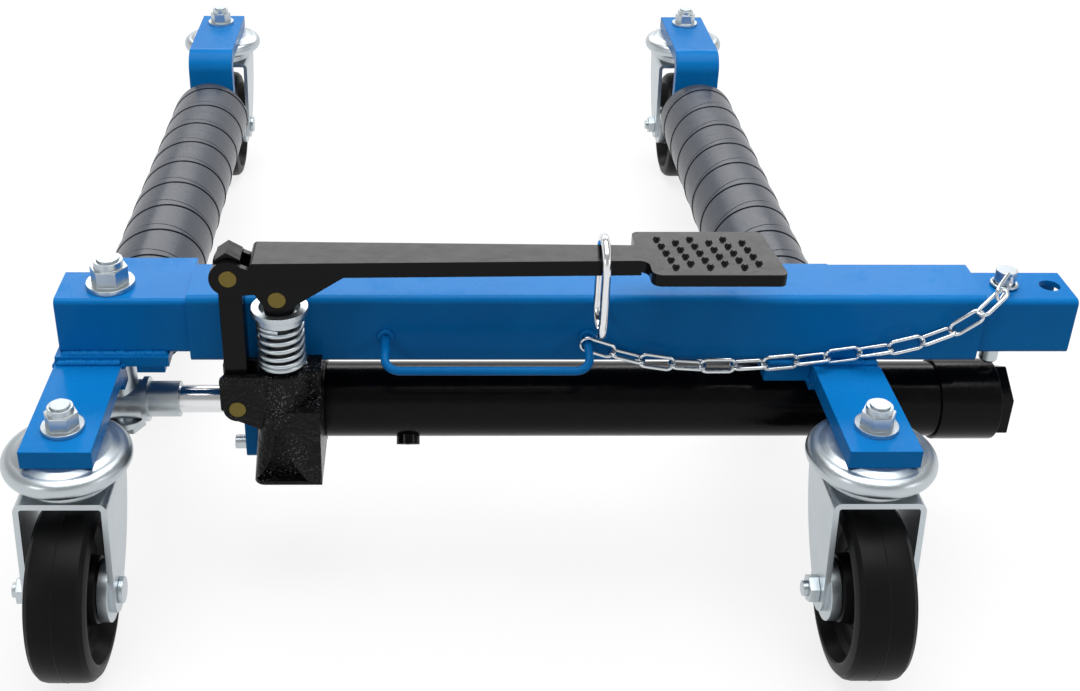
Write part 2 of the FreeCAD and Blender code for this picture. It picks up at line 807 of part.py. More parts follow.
def foot_outline(z, left, front, corner):
    """Plan of the foot, with its left front corner rounded off."""
    back = pump_y + barrel_radius
    start = vec(left + corner, front, z)
    end = vec(left, front + corner, z)
    round_off = corner * (1 - math.sqrt(0.5))
    near = vec(block_right, front, z)
    far = vec(block_right, back, z)
    far_left = vec(left, back, z)
    return Part.Wire([line(start, near), line(near, far), line(far, far_left), line(far_left, end),
                      arc(end, vec(left + round_off, front + round_off, z), start)])


def foot_bell():
    """Bell-shaped cutter for the front of the foot, narrow at the top and flaring to the lip."""
    x = pump_x - bell_offset
    low = block_bottom + bell_lip
    waist = low + bell_waist_rise
    high = low + bell_height
    y0 = foot_front - cut_over

    def at(across, height):
        return vec(x + across, y0, height)

    outline = Part.Wire([
        line(at(-bell_half, low), at(bell_half, low)),
        arc(at(bell_half, low), at(bell_waist_half, waist), at(bell_throat_half, high)),
        arc(at(bell_throat_half, high), at(0, high + bell_throat_half), at(-bell_throat_half, high)),
        arc(at(-bell_throat_half, high), at(-bell_waist_half, waist), at(-bell_half, low))])
    return Part.Face(outline).extrude(Y_AXIS * (foot_waist_front - foot_front + cut_over + bell_depth))


def link_ears():
    """Two ears on the block that hold the foot of the link between them."""
    inner = link_thick / 2 + ear_gap
    low = link_foot_z - ear_radius
    left = pivot_x - ear_left
    right = pump_x - plunger_radius
    top = link_foot_z + ear_rise
    ears = []
    for y0 in (pump_y - inner - ear_thick, pump_y + inner):
        plate = side_plate([(left, link_foot_z), (left, top - ear_chamfer), (left + ear_chamfer, top),
                            (right, top), (right, low - ear_radius), (pivot_x, low)], y0, ear_thick)
        ears.extend([plate, rod_y(y0, y0 + ear_thick, pivot_x, link_foot_z, ear_radius)])
    return ears


def link_bars():
    """Link bar between the ears of the block and the cheeks of the lever."""
    y0 = pump_y - link_thick / 2
    y1 = pump_y + link_thick / 2
    bar = block(pivot_x - link_width / 2, pivot_x + link_width / 2, y0, y1, link_foot_z, pivot_z)
    bar = fuse([bar] + [rod_y(y0, y1, pivot_x, z, link_width / 2) for z in (link_foot_z, pivot_z)])
    for z in (link_foot_z, pivot_z):
        bar = bar.cut(rod_y(y0 - cut_over, y1 + cut_over, pivot_x, z, pin_radius + pin_gap))
    return bar


def link_pins():
    foot = link_thick / 2 + ear_gap + ear_thick + pin_stand_out
    head = cheek_outer + pin_stand_out
    return group([rod_y(pump_y - foot, pump_y + foot, pivot_x, link_foot_z, pin_radius),
                  rod_y(pump_y - head, pump_y + head, pivot_x, pivot_z, pin_radius)])


def plunger():
    """Pump plunger with a flat tongue that the lever pin passes through in a slot."""
    foot_z = barrel_top - plunger_bore + cap_ring_height
    stem_top = spring_seat_z + cap_ring_height + cap_neck_height
    stem = rod_z(foot_z, stem_top, pump_x, pump_y, plunger_radius)
    half = tongue_width / 2
    tongue = block(pump_x - tongue_half, pump_x + tongue_half, pump_y - half, pump_y + half,
                   spring_seat_z + cap_ring_height, tongue_top)
    slot_radius = pin_radius + slot_rise
    front = pump_y - plunger_radius * 2
    back = pump_y + plunger_radius * 2
    slot = rod_y(front, back, pump_x - slot_play, plunger_pin_z, slot_radius)
    slot = slot.fuse(rod_y(front, back, pump_x + slot_play, plunger_pin_z, slot_radius))
    slot = slot.fuse(block(pump_x - slot_play, pump_x + slot_play, front, back, plunger_pin_z - slot_radius,
                           plunger_pin_z + slot_radius))
    return fuse([stem, tongue]).cut(slot)


def spring_cap():
    """Cap of two rings on the plunger, that the return spring pushes up."""
    neck_z = spring_seat_z + cap_ring_height
    crown_z = neck_z + cap_neck_height
    crown_top = crown_z + cap_crown_height
    ring = rod_z(spring_seat_z, neck_z, pump_x, pump_y, cap_ring_radius)
    neck = rod_z(neck_z, crown_z, pump_x, pump_y, cap_neck_radius)
    crown = rod_z(crown_z, crown_top, pump_x, pump_y, cap_crown_radius)
    well = rod_z(neck_z, crown_top + cut_over, pump_x, pump_y, cap_crown_bore)
    bore = rod_z(spring_seat_z - cut_over, neck_z + cut_over, pump_x, pump_y, plunger_radius + plunger_gap)
    return fuse([ring, neck, crown]).cut(well).cut(bore)


def helix_path(radius, pitch, turns, x, y, z0):
    """Helix as biarcs of a quarter turn, in tangent arcs."""
    steps = int(round(turns * 4))

    def point(step):
        angle = math.pi / 2 * step
        return vec(x + radius * math.cos(angle), y + radius * math.sin(angle), z0 + pitch * step / 4)

    def tangent(step):
        angle = math.pi / 2 * step
        run = vec(-radius * math.sin(angle), radius * math.cos(angle), pitch / (2 * math.pi))
        return run.normalize()

    edges = []
    for step in range(steps):
        edges.extend(biarc(point(step), tangent(step), point(step + 1), tangent(step + 1)))
    return Part.Wire(edges), tangent(0)


def biarc(start, start_way, end, end_way):
    gap = end - start
    ways = start_way + end_way
    a = ways.dot(ways) - 4
    b = gap.dot(ways)
    reach = (b - math.sqrt(b * b - a * gap.dot(gap))) / a
    if reach < 0:
        reach = (b + math.sqrt(b * b - a * gap.dot(gap))) / a
    middle = (start + start_way * reach + end - end_way * reach) * 0.5
    return [way_arc(start, start_way, middle), way_arc_back(middle, end, end_way)]


def way_arc(start, way, end):
    return Part.Arc(start, arc_middle(start, way, end), end).toShape()


def way_arc_back(start, end, end_way):
    return Part.Arc(start, arc_middle(end, end_way * -1, start), end).toShape()


def arc_middle(start, way, end):
    """Middle of the arc that leaves start along way and ends at end."""
    chord = end - start
    length = chord.Length
    along = chord * (1 / length)
    side = way - along * way.dot(along)
    angle = math.acos(max(-1, min(1, way.dot(along))))
    return (start + end) * 0.5 + side.normalize() * (length / 2 * math.tan(angle / 2))


def return_spring():
    radius = (spring_outer - spring_wire) / 2
    z0 = barrel_top + spring_seat_gap + spring_wire / 2
    z1 = spring_seat_z - spring_seat_gap - spring_wire / 2
    pitch = (z1 - z0) / spring_turns
    path, way = helix_path(radius, pitch, spring_turns, pump_x, pump_y, z0)
    ring = Part.Wire(Part.Circle(vec(pump_x + radius, pump_y, z0), way, spring_wire / 2).toShape())
    print("spring: least gap between turns", round(pitch - spring_wire, 2), "mm")
    return path.makePipeShell([ring], True, False)


def lever_cheeks():
    """Side cheeks that straddle the link and the plunger, with round ends at both pins."""
    half = lug_radius * math.sqrt(0.5)
    under = lever_top - lever_plate
    cheeks = []
    for y0 in (pump_y - cheek_outer, pump_y + cheek_inner):
        y1 = y0 + cheek_thick
        plate = side_plate([(pivot_x, pivot_z + knuckle_radius), (lever_left, under), (gusset_end, under),
                            (gusset_end, lever_top - lever_depth), (pump_x + half, plunger_pin_z - half),
                            (pump_x - half, plunger_pin_z - half),
                            (pump_x - lug_radius - lug_dip, plunger_pin_z + lug_dip),
                            (pivot_x, pivot_z - knuckle_radius)], y0, cheek_thick)
        cheeks.extend([plate, rod_y(y0, y1, pivot_x, pivot_z, knuckle_radius),
                       rod_y(y0, y1, pump_x, plunger_pin_z, lug_radius)])
    return cheeks


def foot_lever():
    """Cast lever: cheeks on the link and the plunger, a channel arm with side ribs and a studded pad."""
    hollow_left = lever_left + lever_flange
    bridge_z = pivot_z + link_width / 2 + nose_clear
    nose_left = pivot_x - nose_reach
    nose_right = pivot_x + nose_reach
    nose_half = cheek_inner + nose_overlap
    nose = side_plate([(nose_left, bridge_z), (nose_right, bridge_z), (nose_right, bridge_z + nose_side),
                       (pivot_x - nose_shift, lever_top + nose_rise), (nose_left, bridge_z + nose_side)],
                      pump_y - nose_half, 2 * nose_half)
    wide = lever_wide / 2
    narrow = lever_narrow / 2
    plate = top_plate([(lever_left, -wide), (pad_left, -narrow), (pad_left, narrow), (lever_left, wide)],
                      lever_top - lever_plate, lever_plate)
    skirt = top_plate([(lever_left, -wide), (pad_left, -narrow), (pad_left, narrow), (lever_left, wide)],
                      lever_top - lever_depth, lever_depth - lever_plate)
    hollow_right = pad_left - lever_flange
    hollow_wide = wide - lever_flange
    hollow_narrow = narrow - lever_flange
    hollow = top_plate([(hollow_left, -hollow_wide), (hollow_right, -hollow_narrow),
                        (hollow_right, hollow_narrow), (hollow_left, hollow_wide)],
                       lever_top - lever_depth - cut_over, lever_depth - lever_plate + cut_over)
    arm = fuse([plate, skirt]).removeSplitter()
    ends = [edge for edge in edges_along(arm, Y_AXIS) if abs(edge.CenterOfMass.x - lever_left) < side_gap]
    arm = arm.makeFillet(lever_end_round, ends).cut(hollow)
    lever = fuse([nose, arm, foot_pad(narrow)] + lever_cheeks() + studs())
    front = pump_y - wide - cut_over
    back = pump_y + wide + cut_over
    lever = lever.cut(rod_y(front, back, pivot_x, pivot_z, pin_radius + pin_gap))
    return lever.cut(rod_y(front, back, pump_x, plunger_pin_z, pin_radius + pin_gap))


def foot_pad(narrow):
    """Skewed tread plate on the lever's end: swept out in front, square behind, with rounded corners."""
    half = pad_width / 2
    front = pad_left + pad_skew_front
    back = pad_left - pad_skew_back
    start = pad_left - neck_length
    pad = top_plate([(start, -narrow), (front, -narrow), (front, -half), (front + pad_length, -half),
                     (back + pad_length, half), (back, half), (back, narrow), (start, narrow)],
                    lever_top - pad_thick, pad_thick)
    for radius, x, y in ((pad_throat, front, -narrow), (pad_throat, front, -half),
                         (pad_corner, front + pad_length, -half), (pad_corner, back + pad_length, half),
                         (pad_corner, back, half), (pad_heel, back, narrow)):
        corner = vec(x, pump_y + y, lever_top - pad_thick / 2)
        edge = min(edges_along(pad, Z_AXIS), key=lambda side: side.CenterOfMass.distanceToPoint(corner))
        pad = pad.makeFillet(radius, [edge])
    return pad


def side_plate(points, y0, thick):
    outline = [vec(x, y0, z) for x, z in points]
    return Part.Face(Part.makePolygon(outline + outline[:1])).extrude(Y_AXIS * thick)


def top_plate(points, z0, thick):
    outline = [vec(x, pump_y + y, z0) for x, y in points]
    return Part.Face(Part.makePolygon(outline + outline[:1])).extrude(Z_AXIS * thick)


def studs():
    """Slanted rows of grip studs on the pad, a stud fewer in every second row."""
    shapes = []
    middle = pad_left + pad_length / 2 + (pad_skew_front - pad_skew_back) / 2
    for row in range(stud_rows):
        count = stud_columns - row % 2
        for column in range(count):
            across = (column - (count - 1) / 2) * stud_pitch_y
            x = middle + (row - (stud_rows - 1) / 2) * stud_pitch_x - across / stud_pitch_y * stud_slant
            foot = vec(x, pump_y + across, lever_top)
            shapes.append(Part.makeCone(stud_radius, stud_tip_radius, stud_height, foot, Z_AXIS))
    return shapes


def lever_pin():
    reach = cheek_outer + pin_stand_out
    return rod_y(pump_y - reach, pump_y + reach, pump_x, plunger_pin_z, pin_radius)


# Small wire pieces
def ring_loop(points, wire):
    """Closed loop of round wire through four arc and line edges."""
    path = Part.Wire(points)
    start = path.Edges[0].valueAt(path.Edges[0].FirstParameter)
    way = path.Edges[0].tangentAt(path.Edges[0].FirstParameter)
    section = Part.Wire(Part.Circle(start, way, wire / 2).toShape())
    return path.makePipeShell([section], True, False)


def oval_path(centre, long_way, wide_way, length, width):
    """Oval of two straight sides and two half circles, as edges from the middle line of the wire."""
    radius = width / 2
    straight = length / 2 - radius
    a = centre + long_way * -straight + wide_way * radius
    b = centre + long_way * straight + wide_way * radius
    c = centre + long_way * straight + wide_way * -radius
    d = centre + long_way * -straight + wide_way * -radius
    return [line(a, b), arc(b, centre + long_way * (straight + radius), c), line(c, d),
            arc(d, centre + long_way * -(straight + radius), a)]


def wire_bail():
    top = lever_top + bail_top_gap + bail_wire / 2
    bottom = bail_bottom + bail_wire / 2
    centre = vec(bail_x, (bail_front + bail_back) / 2, (top + bottom) / 2)
    path = oval_path(centre, Z_AXIS, Y_AXIS, top - bottom, bail_back - bail_front)
    return ring_loop(path, bail_wire)


def handle():
    """Round-bar handle welded to the sleeve front: two legs and a bar."""
    left = handle_x
    right = handle_x + handle_width
    front = sleeve_front - handle_reach
    low = handle_z - handle_drop
    leg_way = vec(0, -handle_reach, -handle_drop).normalize()
    corner_left = vec(left, front, low)
    corner_right = vec(right, front, low)
    half = handle_bend * (1 - math.sqrt(0.5))
    a = vec(left, sleeve_front, handle_z)
    b = corner_left - leg_way * handle_bend
    c = corner_left + X_AXIS * handle_bend
    d = corner_right - X_AXIS * handle_bend
    e = corner_right - leg_way * handle_bend
    f = vec(right, sleeve_front, handle_z)
    bend_left = corner_left - leg_way * half + X_AXIS * half
    bend_right = corner_right - leg_way * half - X_AXIS * half
    path = Part.Wire([line(a, b), arc(b, bend_left, c), line(c, d), arc(d, bend_right, e), line(e, f)])
    section = Part.Wire(Part.Circle(a, leg_way, handle_wire / 2).toShape())
    bar = path.makePipeShell([section], True, False)
    wall = block(left - handle_bend, right + handle_bend, sleeve_front, sleeve_front + sleeve_side, beam_z,
                 sleeve_top)
    return bar.cut(wall)


def chain_route():
    """Points that the middle of the chain hangs along, from the handle leg to the ring of the locking pin."""
    start = handle_x + handle_width
    span = lock_pin_x - start
    y = sleeve_front - chain_front_gap
    points = [vec(start + span * along, y, beam_z + sleeve_side * rise) for along, rise in chain_route_shares]
    points.append(vec(lock_pin_x - chain_turn_x, beam_y - chain_turn_y, slide_top + chain_turn_z))
    points.append(vec(lock_pin_x - chain_end_x, beam_y - chain_end_y, slide_top + chain_end_z))
    return points


def chain():
    curve = Part.BSplineCurve()
    curve.interpolate(chain_route())
    pitch = link_long - 2 * chain_wire - link_slack
    chain_links = int(round(curve.length() / pitch)) + 1
    centres = curve.toShape().discretize(Number=chain_links)
    laid = (centres[1] - centres[0]).Length
    print("chain: pitch wanted", round(pitch, 2), "mm, laid", round(laid, 2), "mm,", chain_links, "links")
    links = []
    for index in range(chain_links):
        before = centres[max(index - 1, 0)]
        after = centres[min(index + 1, chain_links - 1)]
        way = (after - before).normalize()
        level = Y_AXIS - way * Y_AXIS.dot(way)
        level.normalize()
        side = way.cross(level) if index % 2 == 0 else level
        path = oval_path(centres[index], way, side, link_long - chain_wire, link_wide - chain_wire)
        links.append(ring_loop(path, chain_wire))
    return group(links)


def locking_pin():
    """Pin with a flat head that stands in the first hole of the slide tube."""
    head_z = slide_top + pin_stand
    shank = rod_z(pin_tip_z + pin_chamfer, head_z, lock_pin_x, beam_y, pin_body_radius)
    tip = Part.makeCone(pin_body_radius - pin_chamfer, pin_body_radius, pin_chamfer,
                        vec(lock_pin_x, beam_y, pin_tip_z), Z_AXIS)
    head = rod_z(head_z, head_z + pin_head_height, lock_pin_x, beam_y, pin_head_radius)
    return fuse([shank, tip, head])


def pin_ring():
    z = slide_top + ring_wire / 2 + spring_seat_gap
    return Part.makeTorus(ring_radius, ring_wire / 2, vec(lock_pin_x, beam_y, z), Z_AXIS)


def all_pieces():
    pieces = {
        "sleeve": sleeve(), "slide_tube": slide_tube(),
        "left_cross_plate": left_cross_plate(), "right_cross_plate": right_cross_plate(),
        "left_roller_leg": roller_leg(0, slide_bottom - left_cross_thick),
        "right_roller_leg": roller_leg(arm_spacing, beam_z - right_cross_thick),
        "cylinder_tube": cylinder_tube(), "cylinder_cap": cylinder_cap(), "piston": piston(),
        "ram_rod": ram_rod(), "rod_end": rod_end(), "eye_bolt": eye_bolt(), "drain_plug": drain_plug(),
        "head_plate": head_plate(), "head_bolts": head_bolts(), "pump_block": pump_block(),
        "link_bars": link_bars(), "link_pins": link_pins(),
        "plunger": plunger(), "spring_cap": spring_cap(), "return_spring": return_spring(),
        "foot_lever": foot_lever(), "lever_pin": lever_pin(), "wire_bail": wire_bail(), "handle": handle(),
        "chain": chain(), "locking_pin": locking_pin(), "pin_ring": pin_ring()}
    for side, x in (("left", 0), ("right", arm_spacing)):
        pieces[side + "_near_bracket"] = near_bracket(x)
        pieces[side + "_far_bracket"] = far_bracket(x)
        pieces[side + "_roller_tube"] = roller_tube(x)
        pieces[side + "_roller_wrap"] = roller_wrap(x)
        pieces[side + "_roller_bushes"] = roller_bushes(x)
        pieces[side + "_roller_axle"] = roller_axle(x)
        for row, y in (("near", 0), ("far", caster_pitch)):
            corner = side + "_" + row + "_"
            pieces[corner + "stem"] = caster_stem(x, y)
            pieces[corner + "cup"] = caster_cup(x, y)
            pieces[corner + "fork"] = caster_fork(x, y)
            pieces[corner + "axle"] = caster_axle(x, y)
            pieces[corner + "wheel"] = caster_wheel(x, y)
    return pieces


os.makedirs("parts", exist_ok=True)
for name, shape in all_pieces().items():
    shape.translated(ORIGIN_SHIFT).exportStep("parts/" + name + ".step")
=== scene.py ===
"""Looks of the vehicle positioning jack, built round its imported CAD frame.

The frame holds every solid at its place, in metres. Each operator below adds or finishes one group of
pieces, and the panel in the 3D view's sidebar lists them in the order they are made.
"""

import json
import math
import random

import bpy
from mathutils import Matrix, Vector

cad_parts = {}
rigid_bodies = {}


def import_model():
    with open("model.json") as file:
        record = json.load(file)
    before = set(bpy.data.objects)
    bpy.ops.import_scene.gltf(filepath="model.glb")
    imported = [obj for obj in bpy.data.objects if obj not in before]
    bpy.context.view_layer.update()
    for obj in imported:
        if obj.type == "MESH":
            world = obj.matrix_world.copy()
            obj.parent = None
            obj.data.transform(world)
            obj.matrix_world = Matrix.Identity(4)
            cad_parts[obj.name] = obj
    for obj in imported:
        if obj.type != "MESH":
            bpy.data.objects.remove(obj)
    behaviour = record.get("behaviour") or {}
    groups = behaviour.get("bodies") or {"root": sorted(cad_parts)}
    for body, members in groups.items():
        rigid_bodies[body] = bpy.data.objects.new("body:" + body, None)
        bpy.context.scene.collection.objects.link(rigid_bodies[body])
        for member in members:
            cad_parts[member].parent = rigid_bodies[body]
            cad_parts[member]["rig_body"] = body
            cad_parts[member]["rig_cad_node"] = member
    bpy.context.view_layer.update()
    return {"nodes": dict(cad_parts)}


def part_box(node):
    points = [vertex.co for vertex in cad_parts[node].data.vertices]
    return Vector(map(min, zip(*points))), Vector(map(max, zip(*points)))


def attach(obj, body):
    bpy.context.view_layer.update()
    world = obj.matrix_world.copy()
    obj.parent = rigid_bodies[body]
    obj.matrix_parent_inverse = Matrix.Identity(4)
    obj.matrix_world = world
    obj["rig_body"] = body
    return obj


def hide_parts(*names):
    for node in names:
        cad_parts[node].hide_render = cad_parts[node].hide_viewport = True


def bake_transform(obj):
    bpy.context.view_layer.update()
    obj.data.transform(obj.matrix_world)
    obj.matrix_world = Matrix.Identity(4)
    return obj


bl_info = {
    "name": "Vehicle positioning jack",
    "version": (1, 0, 0),
    "blender": (4, 5, 0),
    "location": "View3D > Sidebar > Jack",
    "description": "Finishes and fine pieces of a hydraulic wheel dolly",
    "category": "Object",
}

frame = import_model()
NODES = frame["nodes"]

EDGE_GROUP = "lap_edge"
TAPE_PHASES = {"left": 0.39, "right": 0.36}
SIDES = ("left", "right")
ROWS = ("near", "far")
CORNERS = [side + "_" + row for side in SIDES for row in ROWS]
ARM_BODY = {"left": "arm", "right": "frame"}

MERGE_DISTANCE = 1e-6
CAD_MERGE_DISTANCE = 5e-6
FLAT_ANGLE = 0.5
SHARP_ANGLE = 40
TURN_STEPS = 96
SPRING_STEPS = 16
WELD_SEED = 7
WELD_INSET = 0.001
WELD_STAND_OFF = 0.0004
HANDLE_RADIUS = 0.0023
HANDLE_WELD_RADIUS = 0.0031
TAPE_CLEARANCE = 0.00025
TAPE_END_TRIM = 0.0001
TAPE_CLOUD_SIZE = 0.07
WHEEL_BORE = 0.0066

WHITE_RAYS = ("Is Camera Ray", "Is Glossy Ray", "Is Transmission Ray")
WORLD_FILL = 0.15
WORLD_SWEEP = {"From Min": 0.22, "From Max": 0.50, "To Min": 1.0, "To Max": 0.42}
FLOOR_SIZE = 30
FLOOR_SHADOW = 0.20
LAMPS = (
    ("overhead", (0.05, -0.05, 1.9), (0.05, -0.05, 0.1), 1.8, 1.8, 43.0),
    ("back_sweep", (0.1, 2.4, 1.62), (0, 0, 0.1), 2.6, 0.7, 27.0),
    ("front_left", (-1.5, -1.5, 1.2), (0, -0.1, 0.1), 0.4, 0.4, 3.6),
    ("front_right", (1.6, -1.1, 0.9), (0.1, -0.1, 0.1), 0.4, 0.4, 2.2),
)
CAMERA_PLACE = (-0.064875, -0.867155, 0.5456)
CAMERA_TURNS = (28.60, -0.79, 0.42)
CAMERA_LENS = 47.05
CAMERA_SENSOR = 36
CAMERA_SHIFT = (0.0866, -0.0802)

BLUE_NODES = {
    "sleeve": 0.0004, "slide_tube": 0.0004, "left_cross_plate": 0.0008, "right_cross_plate": 0.0008,
    "left_roller_leg": 0.0010, "right_roller_leg": 0.0010, "left_near_bracket": 0.0010,
    "right_near_bracket": 0.0010, "left_far_bracket": 0.0010, "right_far_bracket": 0.0010,
    "head_plate": 0.0010, "handle": 0.0,
}
BLACK_NODES = {"cylinder_tube": 0.0004, "cylinder_cap": 0.0008, "drain_plug": 0.0003}
CAST_NODES = {"pump_block": 0.0010}
LEVER_NODES = {"foot_lever": 0.0007, "link_bars": 0.0007}
BRASS_NODES = {"link_pins": 0.0007, "lever_pin": 0.0007}
CHROME_NODES = {"ram_rod": 0.0, "wire_bail": 0.0}
ZINC_NODES = {
    "rod_end": 0.0004, "eye_bolt": 0.0004, "head_bolts": 0.0004, "locking_pin": 0.0005, "pin_ring": 0.0,
    "spring_cap": 0.0006, "left_roller_axle": 0.0004, "right_roller_axle": 0.0004,
}
for corner in CORNERS:
    ZINC_NODES[corner + "_stem"] = 0.0004
    ZINC_NODES[corner + "_fork"] = 0.0004
    ZINC_NODES[corner + "_axle"] = 0.0004
# The plunger gets a near-black steel finish, as painted shade of the spring and block round it
PAINTED_SHADE_NODES = {"plunger": 0.0004}
PLAIN_ZINC_NODES = ("left_roller_tube", "right_roller_tube", "piston")
PLAIN_PLASTIC_NODES = ("left_roller_bushes", "right_roller_bushes")


class JackColours(bpy.types.PropertyGroup):
    """Colours of the finishes, as linear values"""

    blue: bpy.props.FloatVectorProperty(
        name="Blue paint", description="Powder coat on the beam and arms", subtype="COLOR", size=4,
        min=0, max=1, default=(0.003, 0.182, 0.505, 1))
    blue_deep: bpy.props.FloatVectorProperty(
        name="Deep blue", description="Where the powder coat lies thicker", subtype="COLOR", size=4,
        min=0, max=1, default=(0.002, 0.130, 0.410, 1))
    black: bpy.props.FloatVectorProperty(
        name="Black enamel", description="Paint on the cylinder and castings", subtype="COLOR", size=4,
        min=0, max=1, default=(0.0030, 0.0030, 0.0036, 1))
    zinc: bpy.props.FloatVectorProperty(
        name="Zinc plate", description="Bright zinc on casters, nuts, chain and the ram eye", subtype="COLOR",
        size=4, min=0, max=1, default=(0.50, 0.55, 0.58, 1))
    chrome: bpy.props.FloatVectorProperty(
        name="Chrome", description="Ram rod and wire bail", subtype="COLOR", size=4, min=0, max=1,
        default=(0.78, 0.79, 0.80, 1))
    brass: bpy.props.FloatVectorProperty(
        name="Yellow pins", description="Yellow passivated pin ends", subtype="COLOR", size=4, min=0, max=1,
        default=(0.17, 0.115, 0.035, 1))
    tape: bpy.props.FloatVectorProperty(
        name="Grip tape", description="Tape wound on the rollers", subtype="COLOR", size=4, min=0, max=1,
        default=(0.044, 0.050, 0.064, 1))
    wheel: bpy.props.FloatVectorProperty(
        name="Wheel plastic", description="Moulded caster wheels", subtype="COLOR", size=4, min=0, max=1,
        default=(0.0034, 0.0035, 0.0040, 1))
    floor: bpy.props.FloatVectorProperty(
        name="Floor", description="Studio floor as it is seen", subtype="COLOR", size=4, min=0, max=1,
        default=(0.90, 0.90, 0.90, 1))
    floor_bounce: bpy.props.FloatVectorProperty(
        name="Floor bounce", description="Studio floor as it lights the jack from below", subtype="COLOR",
        size=4, min=0, max=1, default=(0.20, 0.20, 0.20, 1))


class JackSizes(bpy.types.PropertyGroup):
    """Sizes of the pieces that are modelled here"""

    tape_pitch: bpy.props.FloatProperty(
        name="Tape pitch", description="Run of the tape along the roller in one turn", unit="LENGTH",
        default=0.0359)
    tape_lap: bpy.props.FloatProperty(
        name="Tape lap", description="Width that each turn lies over the next", unit="LENGTH", default=0.0064)
    tape_thick: bpy.props.FloatProperty(
        name="Tape thickness", description="Thickness of a lap of the tape", unit="LENGTH", default=0.0005)
    tape_base: bpy.props.FloatProperty(
        name="Tape build-up", description="Thickness of the tape's own layers on the tube", unit="LENGTH",
        default=0.0011)
    tape_gap: bpy.props.FloatProperty(
        name="Tape edge gap", description="Width of the dark gap beside each edge of a lap", unit="LENGTH",
        default=0.0008)
    tape_taper: bpy.props.FloatProperty(
        name="Tape taper", description="How much wider a lap is outside and narrower inside", unit="LENGTH",
        default=0.0054)
    tape_wander: bpy.props.FloatProperty(
        name="Tape wander", description="How far the laps wander along the roller", unit="LENGTH",
        default=0.003)
    spring_wire: bpy.props.FloatProperty(
        name="Spring wire", description="Diameter of the return spring's wire", unit="LENGTH", default=0.0026)
    spring_outer: bpy.props.FloatProperty(
        name="Spring diameter", description="Outer diameter of the return spring", unit="LENGTH",
        default=0.0258)
    spring_turns: bpy.props.FloatProperty(
        name="Open turns", description="Turns between the closed end turns", default=3.75)
    spring_closed: bpy.props.FloatProperty(
        name="Closed turns", description="Turns that lie shut at the foot of the spring", default=2.0)
    weld_radius: bpy.props.FloatProperty(
        name="Weld bead", description="Radius of a weld bead", unit="LENGTH", default=0.0021)
    weld_step: bpy.props.FloatProperty(
        name="Weld ripple", description="Distance between the ripples of a bead", unit="LENGTH",
        default=0.0022)
    cup_step: bpy.props.FloatProperty(
        name="Cup step", description="Drop from the flat top of a caster cup to its bead", unit="LENGTH",
        default=0.0016)
    cup_wall: bpy.props.FloatProperty(
        name="Cup wall", description="Sheet thickness of the caster cups", unit="LENGTH", default=0.0024)
    cup_bore: bpy.props.FloatProperty(
        name="Cup bore", description="Radius of the hole for the caster stem", unit="LENGTH", default=0.00505)
    mould_line: bpy.props.FloatProperty(
        name="Mould line", description="Height of the parting line round a wheel", unit="LENGTH",
        default=0.00018)


class Value:
    """A shader socket on which Python arithmetic adds Math nodes."""

    def __init__(self, finish, socket):
        self.finish = finish
        self.socket = socket

    def maths(self, operation, first, second):
        return self.finish.node("ShaderNodeMath", {"operation": operation}, {0: first, 1: second})

    def __add__(self, other):
        return self.maths("ADD", self, other)

    __radd__ = __add__

    def __rsub__(self, other):
        return self.maths("SUBTRACT", other, self)

    def __mul__(self, other):
        return self.maths("MULTIPLY", self, other)


class Finish:
    """One procedural material and the nodes that make it."""

    def __init__(self, name):
        self.material = bpy.data.materials.new(name)
        self.material.use_nodes = True
        self.tree = self.material.node_tree
        self.tree.nodes.clear()
        self.place = self.node("ShaderNodeTexCoord", {}, {}, "Object")

    def node(self, kind, settings, sockets, output=0):
        """Add a node, set it up, then link or set its sockets, and return one of its outputs."""
        made = self.tree.nodes.new(kind)
        for name, setting in settings.items():
            if name == "stops":
                self.set_stops(made.color_ramp, setting)
            else:
                setattr(made, name, setting)
        for key, given in sockets.items():
            socket = made.inputs[key]
            if isinstance(given, Value):
                self.tree.links.new(given.socket, socket)
            else:
                socket.default_value = given
        return Value(self, made.outputs[output])

    def set_stops(self, ramp, stops):
        """Give a colour ramp its stops, as pairs of place and grey level."""
        while len(ramp.elements) < len(stops):
            ramp.elements.new(0.5)
        for element, (place, level) in zip(ramp.elements, stops):
            element.position = place
            element.color = (level, level, level, 1)

    def noise(self, scale, detail=3.0, roughness=0.55, place=None):
        return self.node("ShaderNodeTexNoise", {}, {
            "Vector": place or self.place, "Scale": scale, "Detail": detail, "Roughness": roughness})

    def stretched(self, scale):
        """Object coordinates scaled apart along the axes, for a grain that runs one way."""
        return self.node("ShaderNodeMapping", {}, {"Vector": self.place, "Scale": scale})

    def steps(self, value, stops):
        return self.node("ShaderNodeValToRGB", {"stops": stops}, {"Fac": value})

    def mix(self, factor, first, second):
        return self.node("ShaderNodeMix", {"data_type": "RGBA"}, {
            "Factor": factor, 6: first, 7: second}, 2)

    def bump(self, height, strength, distance, normal=None):
        sockets = {"Height": height, "Strength": strength, "Distance": distance}
        if normal is not None:
            sockets["Normal"] = normal
        return self.node("ShaderNodeBump", {}, sockets)

    def surface(self, **sockets):
        """Close the material with a Principled shader."""
        named = {name.replace("_", " "): given for name, given in sockets.items()}
        shader = self.node("ShaderNodeBsdfPrincipled", {}, named)
        self.node_output(shader)
        return self.material

    def node_output(self, shader):
        output = self.tree.nodes.new("ShaderNodeOutputMaterial")
        self.tree.links.new(shader.socket, output.inputs["Surface"])


